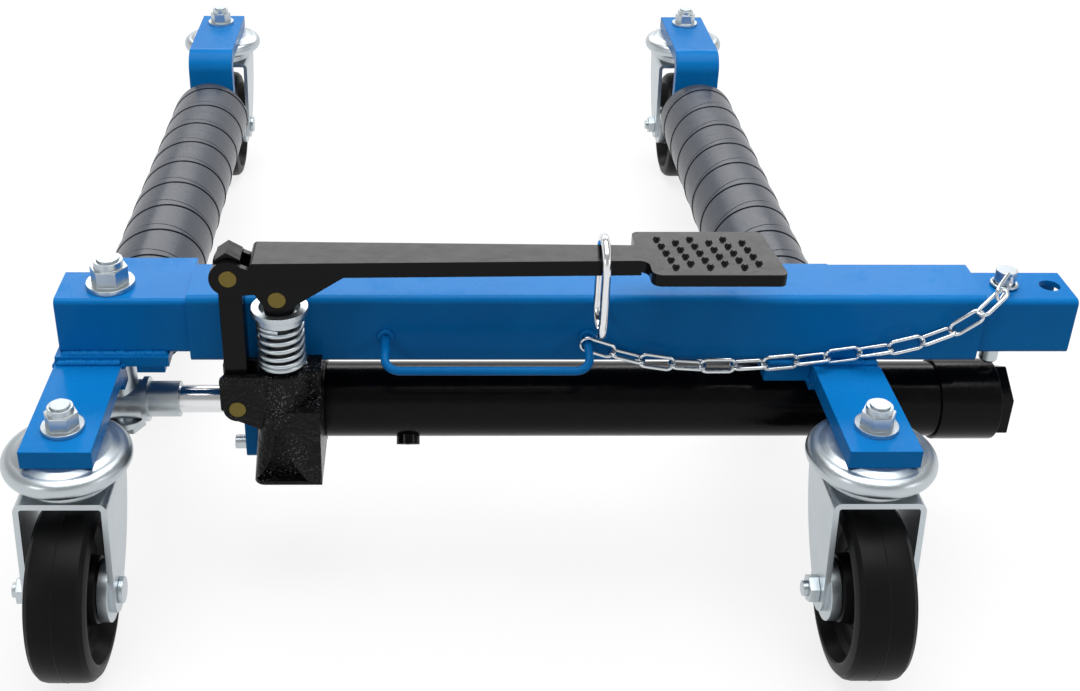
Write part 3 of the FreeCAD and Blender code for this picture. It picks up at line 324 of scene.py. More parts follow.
def blue_powder_coat(colours):
    """Glossy powder coat: a faint orange peel, thicker and thinner patches, and a few dull rubs."""
    finish = Finish("blue_powder_coat")
    patches = finish.noise(16.0, 3.0)
    rubs = finish.steps(finish.noise(55.0, 6.0, 0.7), [(0.56, 0.0), (0.72, 1.0)])
    peel = finish.noise(650.0, 2.0)
    waves = finish.noise(120.0, 2.0)
    return finish.surface(
        Base_Color=finish.mix(patches, tuple(colours.blue_deep), tuple(colours.blue)),
        Roughness=0.26 + rubs * 0.14,
        Specular_IOR_Level=0.06,
        Coat_Weight=0.01, Coat_Roughness=0.10,
        Normal=finish.bump(peel, 0.16, 0.0004, finish.bump(waves, 0.10, 0.0012)))


def black_enamel(colours):
    """Smooth black enamel on turned steel, with a fine peel and a little dust."""
    finish = Finish("black_enamel")
    dust = finish.steps(finish.noise(90.0, 5.0, 0.65), [(0.5, 0.0), (0.75, 1.0)])
    peel = finish.noise(480.0, 2.0)
    return finish.surface(
        Base_Color=finish.mix(dust * 0.3, tuple(colours.black), (0.012, 0.012, 0.013, 1)),
        Roughness=0.18 + dust * 0.12,
        Specular_IOR_Level=0.10,
        Normal=finish.bump(peel, 0.15, 0.0004))


def black_casting(colours):
    """Gloss enamel over a sand casting: pits and grains under the paint, with pale specks on the grain tips
    that are painted glints.
    """
    finish = Finish("black_casting")
    grains = finish.noise(620.0, 3.0, 0.6)
    pits = finish.steps(finish.noise(260.0, 3.0), [(0.36, 0.0), (0.58, 1.0)])
    swells = finish.noise(60.0, 2.0)
    rough = finish.noise(150.0, 4.0)
    # patches gathers the pale specks of the next mask into clusters; together they are painted glints
    patches = finish.steps(finish.noise(42.0, 2.0), [(0.42, 0.0), (0.62, 1.0)])
    painted_glints = finish.steps(finish.noise(820.0, 2.0, 0.7), [(0.58, 0.0), (0.66, 1.0)])
    enamel = finish.mix(pits, (0.0060, 0.0060, 0.0066, 1), tuple(colours.black))
    return finish.surface(
        # The pale grey (0.22) mixed in on the grain tips is a painted glint, not a colour of the paint
        Base_Color=finish.mix(patches * painted_glints, enamel, (0.22, 0.22, 0.23, 1)),
        Roughness=0.17 + rough * 0.10,
        Specular_IOR_Level=0.12,
        Normal=finish.bump(
            grains, 0.55, 0.0010, finish.bump(pits, 0.45, 0.0010, finish.bump(swells, 0.18, 0.002))))


def smooth_casting(colours):
    """The same enamel on the pressed and fettled pump levers, with only a soft swell under it."""
    finish = Finish("smooth_casting")
    grains = finish.noise(420.0, 2.0)
    swells = finish.noise(70.0, 2.0)
    rough = finish.noise(150.0, 4.0)
    return finish.surface(
        Base_Color=finish.mix(rough, tuple(colours.black), (0.0045, 0.0045, 0.0050, 1)),
        Roughness=0.15 + rough * 0.12,
        Specular_IOR_Level=0.12,
        Normal=finish.bump(grains, 0.10, 0.0005, finish.bump(swells, 0.14, 0.002)))


def bright_zinc(colours):
    """Bright zinc plate: cloudy shine, with faint blue and straw tints."""
    finish = Finish("bright_zinc")
    clouds = finish.noise(70.0, 4.0, 0.6)
    tint = finish.noise(24.0, 2.0)
    warm = finish.mix(tint, (0.54, 0.56, 0.55, 1), (0.44, 0.51, 0.57, 1))
    spots = finish.steps(finish.noise(210.0, 5.0, 0.7), [(0.55, 0.0), (0.70, 1.0)])
    return finish.surface(
        Base_Color=finish.mix(clouds, warm, tuple(colours.zinc)),
        Metallic=1.0,
        Roughness=0.27 + clouds * 0.12 + spots * 0.10,
        Normal=finish.bump(finish.noise(320.0, 3.0), 0.05, 0.0004))


def painted_shade_steel(colours):
    """Ground steel for the plunger inside its spring, painted dark as the shade that falls there."""
    finish = Finish("painted_shade_steel")
    painted_shade_mottle = finish.noise(160.0, 4.0, 0.6)
    return finish.surface(
        # Both dark greys are painted shade inside the spring, far darker than the steel's own colour
        Base_Color=finish.mix(painted_shade_mottle, (0.020, 0.020, 0.022, 1), (0.055, 0.055, 0.058, 1)),
        Metallic=0.6,
        Roughness=0.28 + painted_shade_mottle * 0.15)


def polished_chrome(colours):
    """Chrome plate with hairlines drawn round the wire and the rod."""
    finish = Finish("polished_chrome")
    hairs = finish.noise(90.0, 4.0, 0.6, finish.stretched((30.0, 2.0, 2.0)))
    return finish.surface(
        Base_Color=finish.mix(hairs, (0.70, 0.71, 0.73, 1), tuple(colours.chrome)),
        Metallic=1.0,
        Roughness=0.10 + hairs * 0.12,
        Normal=finish.bump(hairs, 0.03, 0.0003))


def chain_plate(colours):
    """Tumbled zinc on the chain, greyer than the rod."""
    finish = Finish("chain_plate")
    clouds = finish.noise(260.0, 3.0)
    return finish.surface(
        Base_Color=finish.mix(clouds, tuple(colours.zinc), (0.64, 0.66, 0.68, 1)),
        Metallic=1.0,
        Roughness=0.13 + clouds * 0.10)


def yellow_pins(colours):
    """Yellow passivated pin ends with turning marks."""
    finish = Finish("yellow_pins")
    marks = finish.noise(260.0, 4.0, 0.6)
    stain = finish.noise(120.0, 3.0)
    return finish.surface(
        Base_Color=finish.mix(stain, tuple(colours.brass), (0.13, 0.115, 0.030, 1)),
        Metallic=1.0,
        Roughness=0.32 + marks * 0.2,
        Normal=finish.bump(marks, 0.08, 0.0004))


def grip_tape(colours):
    """Stretched grip tape: a soft sheen, a very fine cloth grain and small scuffs."""
    finish = Finish("grip_tape")
    grain = finish.noise(1500.0, 2.0)
    stretch = finish.noise(40.0, 3.0, 0.5, finish.stretched((1.0, 6.0, 1.0)))
    scuffs = finish.steps(finish.noise(130.0, 6.0, 0.7), [(0.58, 0.0), (0.78, 1.0)])
    pale = tuple(min(1.0, level * 1.22) for level in colours.tape[:3]) + (1,)
    return finish.surface(
        Base_Color=finish.mix(stretch, tuple(colours.tape), pale),
        Roughness=0.26 + scuffs * 0.14,
        Specular_IOR_Level=0.19,
        Normal=finish.bump(grain, 0.10, 0.0002, finish.bump(stretch, 0.10, 0.0015)))


def wheel_plastic(colours):
    """Satin moulded wheel plastic with a spark-eroded grain and faint flow marks."""
    finish = Finish("wheel_plastic")
    grain = finish.noise(900.0, 2.0)
    flow = finish.noise(45.0, 3.0)
    return finish.surface(
        Base_Color=finish.mix(flow, tuple(colours.wheel), (0.0095, 0.0095, 0.0102, 1)),
        Roughness=0.32 + flow * 0.12,
        Specular_IOR_Level=0.08,
        Normal=finish.bump(grain, 0.08, 0.0003))


def bush_plastic(colours):
    """Natural dark nylon of the roller bushes."""
    finish = Finish("bush_plastic")
    flow = finish.noise(80.0, 3.0)
    return finish.surface(
        Base_Color=finish.mix(flow, (0.03, 0.03, 0.03, 1), (0.05, 0.05, 0.048, 1)),
        Roughness=0.45 + flow * 0.1)


def studio_floor(colours):
    """Floor that is white to the eye and in reflections, and keeps a faint shadow near the jack."""
    finish = Finish("studio_floor")
    seen = [finish.node("ShaderNodeLightPath", {}, {}, ray) for ray in WHITE_RAYS]
    white = finish.node("ShaderNodeEmission", {}, {"Color": (1, 1, 1, 1), "Strength": 1.0})
    shown = seen[0] + seen[1] + seen[2]
    plain = finish.node("ShaderNodeBsdfDiffuse", {}, {
        "Color": finish.mix(shown, tuple(colours.floor_bounce), tuple(colours.floor))})
    near = finish.node("ShaderNodeTexGradient", {"gradient_type": "SPHERICAL"}, {
        "Vector": finish.stretched((0.5, 0.5, 0.5))}, "Fac")
    lit = 1 - finish.steps(near, [(0.15, 0.0), (0.5, 1.0)]) * FLOOR_SHADOW
    finish.node_output(finish.node("ShaderNodeMixShader", {}, {0: shown * lit, 1: plain, 2: white}))
    return finish.material


MAKERS = {
    "blue_paint": blue_powder_coat, "black_paint": black_enamel, "black_casting": black_casting,
    "smooth_casting": smooth_casting, "painted_shade_steel": painted_shade_steel, "zinc_plate": bright_zinc,
    "chrome_steel": polished_chrome, "chain_plate": chain_plate, "brass_pins": yellow_pins,
    "roller_tape": grip_tape, "wheel_plastic": wheel_plastic, "bush_plastic": bush_plastic,
}
_made = {}


def material_for(slot):
    """The material of one of the record's slots, or of another finish, made at its first use."""
    if slot not in _made:
        _made[slot] = MAKERS[slot](bpy.context.scene.jack_colours)
    return _made[slot]


def choose(piece):
    """Make one object the only selected and the active one."""
    bpy.ops.object.select_all(action="DESELECT")
    piece.select_set(True)
    bpy.context.view_layer.objects.active = piece


def edit(piece):
    choose(piece)
    bpy.ops.object.mode_set(mode="EDIT")
    bpy.ops.mesh.select_all(action="SELECT")


def leave_edit():
    bpy.ops.object.mode_set(mode="OBJECT")


def apply_place(piece):
    """Put the piece's place and turn into its mesh."""
    choose(piece)
    bpy.ops.object.transform_apply(location=True, rotation=True, scale=True)


def apply_modifiers(piece):
    choose(piece)
    for modifier in list(piece.modifiers):
        bpy.ops.object.modifier_apply(modifier=modifier.name)


def close_mesh(piece):
    """Merge doubles and turn all faces outwards."""
    edit(piece)
    bpy.ops.mesh.remove_doubles(threshold=MERGE_DISTANCE)
    bpy.ops.mesh.normals_make_consistent(inside=False)
    leave_edit()


def smooth(piece, angle=35.0):
    choose(piece)
    bpy.ops.object.shade_smooth_by_angle(angle=math.radians(angle))


def finish_piece(piece, slot, finish=None):
    """Give a piece the material of its slot, or another finish of the same paint."""
    piece.data.materials.clear()
    piece.data.materials.append(material_for(finish or slot))


def node_copy(node, name):
    """A merged copy of a CAD node's mesh, with its flat faces made whole again."""
    choose(NODES[node])
    bpy.ops.object.duplicate()
    piece = bpy.context.object
    piece.name = name
    piece.parent = None
    del piece["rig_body"]
    del piece["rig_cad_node"]
    edit(piece)
    bpy.ops.mesh.remove_doubles(threshold=CAD_MERGE_DISTANCE)
    bpy.ops.mesh.dissolve_limited(angle_limit=math.radians(FLAT_ANGLE))
    leave_edit()
    return piece


def round_edges(piece, width):
    """Break the sharp edges of a copy, as a file or a tumbling drum leaves them, and keep flat faces flat."""
    if width > 0:
        bevel = piece.modifiers.new("edges", "BEVEL")
        bevel.width = width
        bevel.segments = 2
        bevel.limit_method = "ANGLE"
        bevel.angle_limit = math.radians(SHARP_ANGLE)
        apply_modifiers(piece)
    smooth(piece)
    flat = piece.modifiers.new("flat_faces", "WEIGHTED_NORMAL")
    flat.keep_sharp = True
    apply_modifiers(piece)


def dress_nodes(nodes, slot, finish=None):
    for node, width in nodes.items():
        body = NODES[node]["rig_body"]
        piece = node_copy(node, node + "_dressed")
        round_edges(piece, width)
        finish_piece(piece, slot, finish)
        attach(piece, body)
        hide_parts(node)


def start_vertex(name, origin, first):
    """Begin a mesh as a single vertex at first, in an object whose origin is a point of its axis."""
    bpy.ops.object.select_all(action="DESELECT")
    bpy.ops.mesh.primitive_plane_add(size=0.001, location=origin)
    piece = bpy.context.object
    piece.name = name
    bpy.ops.object.mode_set(mode="EDIT")
    bpy.ops.mesh.merge(type="CENTER")
    bpy.ops.transform.translate(value=Vector(first) - Vector(origin))
    return piece


def draw_outline(name, origin, points):
    """Extrude a vertex from point to point, in the world's axes, and leave the outline selected."""
    piece = start_vertex(name, origin, points[0])
    for start, end in zip(points, points[1:]):
        bpy.ops.mesh.extrude_vertices_move(
            TRANSFORM_OT_translate={"value": Vector(end) - Vector(start)})
    bpy.ops.mesh.select_all(action="SELECT")
    return piece


def turned(name, centre, points, axis, angle):
    """Spin an outline about an axis through centre into a closed mesh, smooth below an angle."""
    piece = draw_outline(name, centre, points)
    bpy.ops.mesh.remove_doubles(threshold=MERGE_DISTANCE)
    bpy.ops.mesh.spin(steps=TURN_STEPS, angle=2 * math.pi, center=centre, axis=axis)
    leave_edit()
    apply_place(piece)
    close_mesh(piece)
    smooth(piece, angle)
    return piece


def wire(name, points, radius, resolution, swells=None, cyclic=False):
    """Round wire or bead along a NURBS path, made a mesh. Swells scale the radius at each point."""
    bpy.ops.object.select_all(action="DESELECT")
    bpy.ops.curve.primitive_nurbs_path_add(location=(0, 0, 0))
    piece = bpy.context.object
    piece.name = name
    curve = piece.data
    curve.splines.clear()
    spline = curve.splines.new("NURBS")
    spline.points.add(len(points) - 1)
    for index, (point, place) in enumerate(zip(spline.points, points)):
        point.co = (*place, 1)
        point.radius = swells[index] if swells else 1
    spline.order_u = 3
    spline.use_endpoint_u = not cyclic
    spline.use_cyclic_u = cyclic
    spline.resolution_u = resolution
    curve.dimensions = "3D"
    curve.bevel_depth = radius
    curve.bevel_resolution = 4
    curve.use_fill_caps = not cyclic
    choose(piece)
    bpy.ops.object.convert(target="MESH")
    piece = bpy.context.object
    close_mesh(piece)
    smooth(piece, 50)
    return piece


class JACK_OT_dressed_metal(bpy.types.Operator):
    """Break the edges of the painted, cast and plated solids and give them their finishes"""

    bl_idname = "jack.dressed_metal"
    bl_label = "Dressed metal"

    def execute(self, context):
        dress_nodes(BLUE_NODES, "blue_paint")
        dress_nodes(BLACK_NODES, "black_paint")
        dress_nodes(CAST_NODES, "black_casting")
        dress_nodes(LEVER_NODES, "black_casting", "smooth_casting")
        dress_nodes(BRASS_NODES, "brass_pins")
        dress_nodes(CHROME_NODES, "chrome_steel")
        dress_nodes(ZINC_NODES, "zinc_plate")
        # The plunger's dark finish is painted shade
        dress_nodes(PAINTED_SHADE_NODES, "zinc_plate", "painted_shade_steel")
        for node in PLAIN_ZINC_NODES:
            finish_piece(NODES[node], "zinc_plate")
        for node in PLAIN_PLASTIC_NODES:
            finish_piece(NODES[node], "bush_plastic")
        return {"FINISHED"}


class JACK_OT_roller_tape(bpy.types.Operator):
    """Wind lapped grip tape on both rollers"""

    bl_idname = "jack.roller_tape"
    bl_label = "Roller tape"

    def execute(self, context):
        for side in SIDES:
            self.wind(context.scene.jack_sizes, side)
        return {"FINISHED"}

    def wind(self, sizes, side):
        node = side + "_roller_wrap"
        low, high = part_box(node)
        tube_low, tube_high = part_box(side + "_roller_tube")
        axis = Vector(((low.x + high.x) / 2, low.y, (low.z + high.z) / 2))
        inner = (tube_high.z - tube_low.z) / 2 + TAPE_CLEARANCE
        outer = inner + (sizes.tape_base + sizes.tape_thick)
        length = high.y - low.y
        pitch = sizes.tape_pitch
        start = axis + Vector((0, length + pitch * (1.5 + TAPE_PHASES[side]), 0))
        points = [start + Vector((0, -along, inner + up)) for along, up in self.lap_outline(sizes)]
        piece = draw_outline(side + "_roller_tape", start, points)
        bpy.ops.mesh.remove_doubles(threshold=MERGE_DISTANCE)
        self.group_edge(piece, sizes.tape_lap, pitch)
        screw = piece.modifiers.new("winding", "SCREW")
        screw.axis = "Y"
        screw.angle = -2 * math.pi
        screw.screw_offset = -pitch
        screw.iterations = int(length / pitch) + 3
        screw.steps = TURN_STEPS
        screw.render_steps = TURN_STEPS
        screw.use_smooth_shade = False
        lean = sizes.tape_taper * 2 / outer * (1 if side == "right" else -1)
        slope = self.shift(piece, "taper", side + "_tape_taper", "BLEND", lean)
        slope.vertex_group = EDGE_GROUP
        wander = self.shift(piece, "wander", side + "_tape_wander", "CLOUDS", sizes.tape_wander)
        wander.texture.noise_scale = TAPE_CLOUD_SIZE
        apply_modifiers(piece)
        apply_place(piece)
        edit(piece)
        for end, near in ((low.y + TAPE_END_TRIM, True), (high.y - TAPE_END_TRIM, False)):
            bpy.ops.mesh.select_all(action="SELECT")
            bpy.ops.mesh.bisect(
                plane_co=(0, end, 0), plane_no=(0, 1, 0), use_fill=True,
                clear_inner=near, clear_outer=not near)
        leave_edit()
        close_mesh(piece)
        smooth(piece, 30)
        finish_piece(piece, "roller_tape")
        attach(piece, side + "_roller")
        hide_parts(node)

    def lap_outline(self, sizes):
        """Section of one turn, as pairs of run towards the near end and height over the tube.

        The near part climbs over the next turn's edge. A dark groove lies beside both edges of the lap, and
        the far one is undercut.
        """
        pitch = sizes.tape_pitch
        lap = sizes.tape_lap
        base = sizes.tape_base
        over = base + sizes.tape_thick
        foot = pitch - 0.0008
        crest = pitch - 0.0002
        ease = 0.0001
        groove = sizes.tape_gap * 1.4
        groove_floor = base - 0.0006
        slit = sizes.tape_gap * 1.8
        slit_floor = base - 0.0009
        tuck = lap - 0.0007
        return [
            (0, 0), (foot, 0), (crest, base), (pitch + lap, base),
            (pitch + lap, over), (crest, over), (foot, base),
            (foot - ease, groove_floor), (foot - groove + ease, groove_floor), (foot - groove, base),
            (lap + slit, base), (lap + slit - ease, slit_floor), (tuck, slit_floor), (tuck, base - 0.0002),
            (lap, base - 0.00015), (lap, base), (0, base), (0, 0)]

    def shift(self, piece, name, texture, kind, strength):
        """Move a piece's points along the roller by a texture."""
        moved = piece.modifiers.new(name, "DISPLACE")
        moved.texture = bpy.data.textures.new(texture, kind)
        moved.texture_coords = "LOCAL"
        moved.direction = "Y"
        moved.strength = strength
        return moved

    def group_edge(self, piece, lap, pitch):
        """Group the covered edge and the step over it, which taper the lap."""
        bpy.ops.mesh.select_all(action="DESELECT")
        leave_edit()
        for vertex in piece.data.vertices:
            along = -vertex.co.y
            vertex.select = along < lap / 2 or pitch - lap / 2 < along < pitch + lap / 2
        bpy.ops.object.mode_set(mode="EDIT")
        bpy.ops.object.vertex_group_assign_new()
        leave_edit()
        piece.vertex_groups[-1].name = EDGE_GROUP


class JACK_OT_return_spring(bpy.types.Operator):
    """Coil the plunger's return spring, with closed end turns, between the block and its cap"""

    bl_idname = "jack.return_spring"
    bl_label = "Return spring"

    def execute(self, context):
        sizes = context.scene.jack_sizes
        low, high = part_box("return_spring")
        centre = (low + high) / 2
        radius = (sizes.spring_outer - sizes.spring_wire) / 2
        bottom = low.z + sizes.spring_wire / 2
        top = high.z - sizes.spring_wire / 2
        foot = sizes.spring_closed
        rise = top - bottom - (foot + 1) * sizes.spring_wire
        turns = sizes.spring_turns + foot + 1
        steps = int(turns * SPRING_STEPS)
        points = []
        for step in range(steps + 1):
            turn = turns * step / steps
            opened = min(max(turn - foot, 0), sizes.spring_turns)
            closed = min(turn, foot) + max(turn - turns + 1, 0)
            height = bottom + rise * opened / sizes.spring_turns + sizes.spring_wire * closed
            angle = 2 * math.pi * turn
            points.append((centre.x + radius * math.cos(angle), centre.y + radius * math.sin(angle), height))
        piece = wire("return_spring_coil", points, sizes.spring_wire / 2, 3)
        finish_piece(piece, "zinc_plate")
        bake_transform(piece)
        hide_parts("return_spring")
        return {"FINISHED"}


class JACK_OT_chain(bpy.types.Operator):
    """Hang the pin's chain from the handle to the locking pin"""

    bl_idname = "jack.chain"
    bl_label = "Pin chain"

    def execute(self, context):
        piece = node_copy("chain", "pin_chain")
        smooth(piece, 50)
        finish_piece(piece, "chrome_steel", "chain_plate")
        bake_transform(piece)
        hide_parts("chain")
        return {"FINISHED"}


class JACK_OT_wheels(bpy.types.Operator):
    """Turn the four moulded caster wheels, with their rims, webs and parting line"""

    bl_idname = "jack.wheels"
    bl_label = "Caster wheels"

    def execute(self, context):
        for corner in CORNERS:
            self.turn_wheel(context.scene.jack_sizes, corner)
        return {"FINISHED"}

    def turn_wheel(self, sizes, corner):
        node = corner + "_wheel"
        low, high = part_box(node)
        centre = (low + high) / 2
        radius = (high.z - low.z) / 2
        tread = (high.x - low.x) / 2
        hub = tread - 0.001
        face = radius - sizes.mould_line
        half = [(0.0, radius), (0.00035, face), (tread - 0.0062, face), (tread - 0.0034, radius - 0.0008),
                (tread - 0.0012, radius - 0.0028), (tread - 0.0002, radius - 0.0058),
                (tread, radius - 0.0078), (tread - 0.0006, radius - 0.0090),
                (tread - 0.0022, radius - 0.0094), (0.0078, radius - 0.0116),
                (0.0050, radius - 0.0146), (0.0050, 0.0215), (0.0070, 0.0185),
                (hub - 0.001, 0.0172), (hub, 0.0162), (hub, WHEEL_BORE)]
        outline = half + [(-across, height) for across, height in reversed(half[1:])] + half[:1]
        points = [centre + Vector((across, 0, height)) for across, height in outline]
        points.insert(len(half), centre + Vector((-hub, 0, WHEEL_BORE)))
        piece = turned(corner + "_wheel_moulded", centre, points, (1, 0, 0), 25)
        finish_piece(piece, "wheel_plastic")
        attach(piece, corner + "_wheel")
        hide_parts(node)


class JACK_OT_caster_cups(bpy.types.Operator):
    """Press the four ball-race cups, with a flat top, a soft step and a rolled bead"""

    bl_idname = "jack.caster_cups"
    bl_label = "Caster cups"

    def execute(self, context):
        for corner in CORNERS:
            self.press_cup(context.scene.jack_sizes, corner)
        return {"FINISHED"}

    def press_cup(self, sizes, corner):
        node = corner + "_cup"
        low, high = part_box(node)
        centre = Vector(((low.x + high.x) / 2, (low.y + high.y) / 2, high.z))
        radius = (high.x - low.x) / 2
        bead = (high.z - low.z - sizes.cup_step) / 2
        ring = radius - bead
        flat = ring - 0.004
        middle = -sizes.cup_step - bead
        bore = sizes.cup_bore
        wall = sizes.cup_wall
        outline = [(bore, 0), (flat - 0.0010, 0), (flat - 0.0004, -0.00004), (flat + 0.0002, -0.00018),
                   (ring - 0.0014, -sizes.cup_step + 0.00038), (ring - 0.0007, -sizes.cup_step + 0.00010)]
        for reach, degrees in ((bead, range(90, -91, -10)), (bead - wall, range(-90, 91, 15))):
            for turn in (math.radians(degree) for degree in degrees):
                outline.append((ring + reach * math.cos(turn), middle + reach * math.sin(turn)))
        outline += [(flat, -wall), (bore, -wall), (bore, 0)]
        points = [centre + Vector((across, 0, height)) for across, height in outline]
        piece = turned(corner + "_cup_pressed", centre, points, (0, 0, 1), 40)
        finish_piece(piece, "zinc_plate")
        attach(piece, NODES[node]["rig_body"])
        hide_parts(node)


class JACK_OT_weld_beads(bpy.types.Operator):
    """Lay weld beads where the arms, plates and handle join the beam"""

    bl_idname = "jack.weld_beads"
    bl_label = "Weld beads"

    def execute(self, context):
        sizes = context.scene.jack_sizes
        self.chance = random.Random(WELD_SEED)
        self.step = sizes.weld_step
        self.radius = sizes.weld_radius
        for side in SIDES:
            body = ARM_BODY[side]
            plate_low, plate_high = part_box(side + "_cross_plate")
            tube_low, tube_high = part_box("slide_tube" if side == "left" else "sleeve")
            bar_low, bar_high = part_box(side + "_near_bracket")
            leg_low, leg_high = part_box(side + "_roller_leg")
            left = max(plate_low.x, tube_low.x) + WELD_INSET
            right = min(plate_high.x, tube_high.x) - WELD_INSET
            front = tube_low.y - WELD_STAND_OFF
            back = tube_high.y + WELD_STAND_OFF
            seam = plate_high.z
            self.bead(side + "_plate_front", body, (left, front, seam), (right, front, seam))
            self.bead(side + "_plate_back", body, (left, back, seam), (right, back, seam))
            bar_front = plate_low.y - 0.0008
            bar_top = bar_high.z + 0.0002
            self.bead(side + "_bar_front", body, (bar_low.x + WELD_INSET, bar_front, bar_top),
                      (bar_high.x - WELD_INSET, bar_front, bar_top))
            for edge, name in ((bar_low.x, "outer"), (bar_high.x, "inner")):
                self.bead(side + "_bar_" + name, body, (edge, bar_front, plate_low.z),
                          (edge, bar_high.y, plate_low.z))
            self.bead(side + "_leg", body, (leg_low.x + WELD_INSET, leg_low.y, plate_low.z),
                      (leg_high.x - WELD_INSET, leg_low.y, plate_low.z))
        head_low, head_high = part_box("head_plate")
        for x, name in ((head_low.x, "left"), (head_high.x, "right")):
            self.bead("head_" + name, "frame", (x, head_low.y + WELD_INSET, head_high.z),
                      (x, head_high.y - WELD_INSET, head_high.z))
        handle_low, handle_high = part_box("handle")
        for x, name in ((handle_low.x + HANDLE_RADIUS, "left"), (handle_high.x - HANDLE_RADIUS, "right")):
            foot = Vector((x, handle_high.y - 0.0006, handle_high.z - HANDLE_RADIUS))
            self.ring("handle_" + name, "frame", foot, HANDLE_WELD_RADIUS)
        return {"FINISHED"}

    def bead(self, name, body, start, end):
        """A straight bead of overlapping ripples."""
        start = Vector(start)
        run = Vector(end) - start
        count = max(4, int(run.length / (self.step / 2)))
        points = []
        swells = []
        for index in range(count + 1):
            shake = Vector([self.chance.uniform(-1, 1) for _ in range(3)]) * self.radius * 0.10
            points.append(start + run * (index / count) + shake)
            swells.append((1.0 if index % 2 else 0.78) + self.chance.uniform(-0.08, 0.08))
        swells[0] = swells[-1] = 0.6
        self.lay(name, body, points, swells)

    def ring(self, name, body, centre, around):
        """A bead round a bar's foot."""
        count = 18
        points = []
        swells = []
        for index in range(count):
            angle = 2 * math.pi * index / count
            points.append(centre + Vector((math.cos(angle), 0, math.sin(angle))) * around)
            swells.append((0.85 if index % 2 else 0.65) + self.chance.uniform(-0.06, 0.06))
        self.lay(name, body, points, swells, True)

    def lay(self, name, body, points, swells, cyclic=False):
        piece = wire(name + "_weld", points, self.radius, 2, swells, cyclic)
        finish_piece(piece, "blue_paint")
        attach(piece, body)


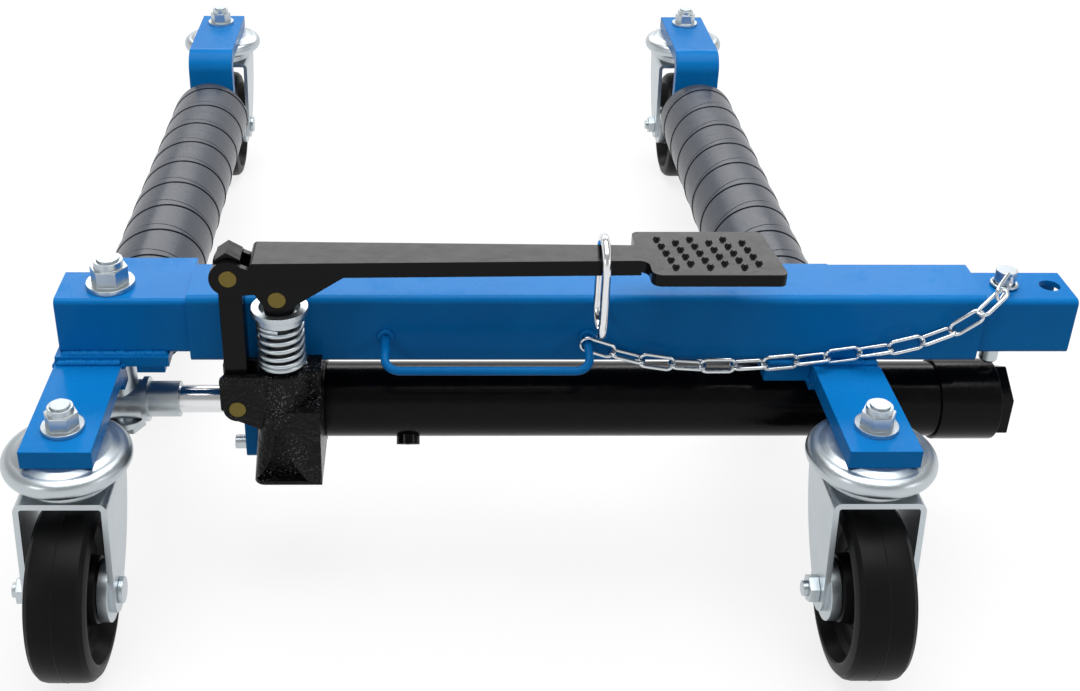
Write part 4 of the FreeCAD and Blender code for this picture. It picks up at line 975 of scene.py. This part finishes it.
class JACK_OT_stage(bpy.types.Operator):
    """Set up the floor, the soft lights and the camera"""

    bl_idname = "jack.stage"
    bl_label = "Stage"

    def execute(self, context):
        self.lay_floor(context)
        self.light_world(context)
        for lamp in LAMPS:
            self.soft_light(*lamp)
        self.place_camera(context)
        context.scene.view_settings.view_transform = "Standard"
        return {"FINISHED"}

    def lay_floor(self, context):
        bpy.ops.object.select_all(action="DESELECT")
        bpy.ops.mesh.primitive_plane_add(size=FLOOR_SIZE, location=(0, 0, 0))
        floor = bpy.context.object
        floor.name = "studio_floor"
        floor.data.materials.append(studio_floor(context.scene.jack_colours))

    def light_world(self, context):
        """White near the horizon and greyer overhead where it is seen or reflected, and dim as a light."""
        world = bpy.data.worlds.new("studio_light")
        world.use_nodes = True
        context.scene.world = world
        tree = world.node_tree
        shade = tree.nodes["Background"]
        paths = tree.nodes.new("ShaderNodeLightPath")
        shade.inputs["Color"].default_value = (1, 1, 1, 1)
        seen = None
        for ray in WHITE_RAYS:
            either = tree.nodes.new("ShaderNodeMath")
            either.operation = "MAXIMUM"
            tree.links.new(paths.outputs[ray], either.inputs[0])
            if seen:
                tree.links.new(seen, either.inputs[1])
            seen = either.outputs[0]
        brightness = tree.nodes.new("ShaderNodeMapRange")
        place = tree.nodes.new("ShaderNodeTexCoord")
        apart = tree.nodes.new("ShaderNodeSeparateXYZ")
        tree.links.new(place.outputs["Generated"], apart.inputs["Vector"])
        sweep = tree.nodes.new("ShaderNodeMapRange")
        for name, level in WORLD_SWEEP.items():
            sweep.inputs[name].default_value = level
        tree.links.new(apart.outputs["Z"], sweep.inputs["Value"])
        brightness.inputs["To Min"].default_value = WORLD_FILL
        tree.links.new(sweep.outputs["Result"], brightness.inputs["To Max"])
        tree.links.new(seen, brightness.inputs["Value"])
        tree.links.new(brightness.outputs["Result"], shade.inputs["Strength"])

    def soft_light(self, name, place, target, width, height, power):
        bpy.ops.object.light_add(type="AREA", location=place)
        lamp = bpy.context.object
        lamp.name = name
        lamp.data.shape = "RECTANGLE"
        lamp.data.size = width
        lamp.data.size_y = height
        lamp.data.energy = power
        lamp.rotation_euler = (Vector(target) - Vector(place)).to_track_quat("-Z", "Y").to_euler()

    def place_camera(self, context):
        pitch, yaw, roll = (math.radians(angle) for angle in CAMERA_TURNS)
        across = Vector((math.cos(yaw), math.sin(yaw), 0))
        ahead = Vector((-math.sin(yaw) * math.cos(pitch), math.cos(yaw) * math.cos(pitch), -math.sin(pitch)))
        upward = across.cross(ahead)
        right = across * math.cos(roll) + upward * math.sin(roll)
        above = upward * math.cos(roll) - across * math.sin(roll)
        bpy.ops.object.camera_add(location=CAMERA_PLACE)
        camera = bpy.context.object
        camera.name = "photo_camera"
        camera.rotation_euler = Matrix((right, above, -ahead)).transposed().to_euler()
        camera.data.lens = CAMERA_LENS
        camera.data.sensor_width = CAMERA_SENSOR
        camera.data.shift_x, camera.data.shift_y = CAMERA_SHIFT
        context.scene.camera = camera


class JACK_PT_panel(bpy.types.Panel):
    """The jack's steps in order, with the sizes and colours a user may change"""

    bl_idname = "JACK_PT_panel"
    bl_label = "Positioning jack"
    bl_space_type = "VIEW_3D"
    bl_region_type = "UI"
    bl_category = "Jack"

    def draw(self, context):
        for operator in OPERATORS:
            self.layout.operator(operator.bl_idname)
        for group in (context.scene.jack_sizes, context.scene.jack_colours):
            for name in group.__annotations__:
                self.layout.prop(group, name)


OPERATORS = (JACK_OT_stage, JACK_OT_dressed_metal, JACK_OT_roller_tape, JACK_OT_return_spring,
             JACK_OT_chain, JACK_OT_wheels, JACK_OT_caster_cups, JACK_OT_weld_beads)
CLASSES = (JackColours, JackSizes) + OPERATORS + (JACK_PT_panel,)


def register():
    for kind in CLASSES:
        bpy.utils.register_class(kind)
    bpy.types.Scene.jack_colours = bpy.props.PointerProperty(type=JackColours)
    bpy.types.Scene.jack_sizes = bpy.props.PointerProperty(type=JackSizes)


def unregister():
    del bpy.types.Scene.jack_sizes
    del bpy.types.Scene.jack_colours
    for kind in reversed(CLASSES):
        bpy.utils.unregister_class(kind)


def main():
    register()
    bpy.ops.jack.stage()
    bpy.ops.jack.dressed_metal()
    bpy.ops.jack.roller_tape()
    bpy.ops.jack.return_spring()
    bpy.ops.jack.chain()
    bpy.ops.jack.wheels()
    bpy.ops.jack.caster_cups()
    bpy.ops.jack.weld_beads()


if __name__ == "__main__":
    main()
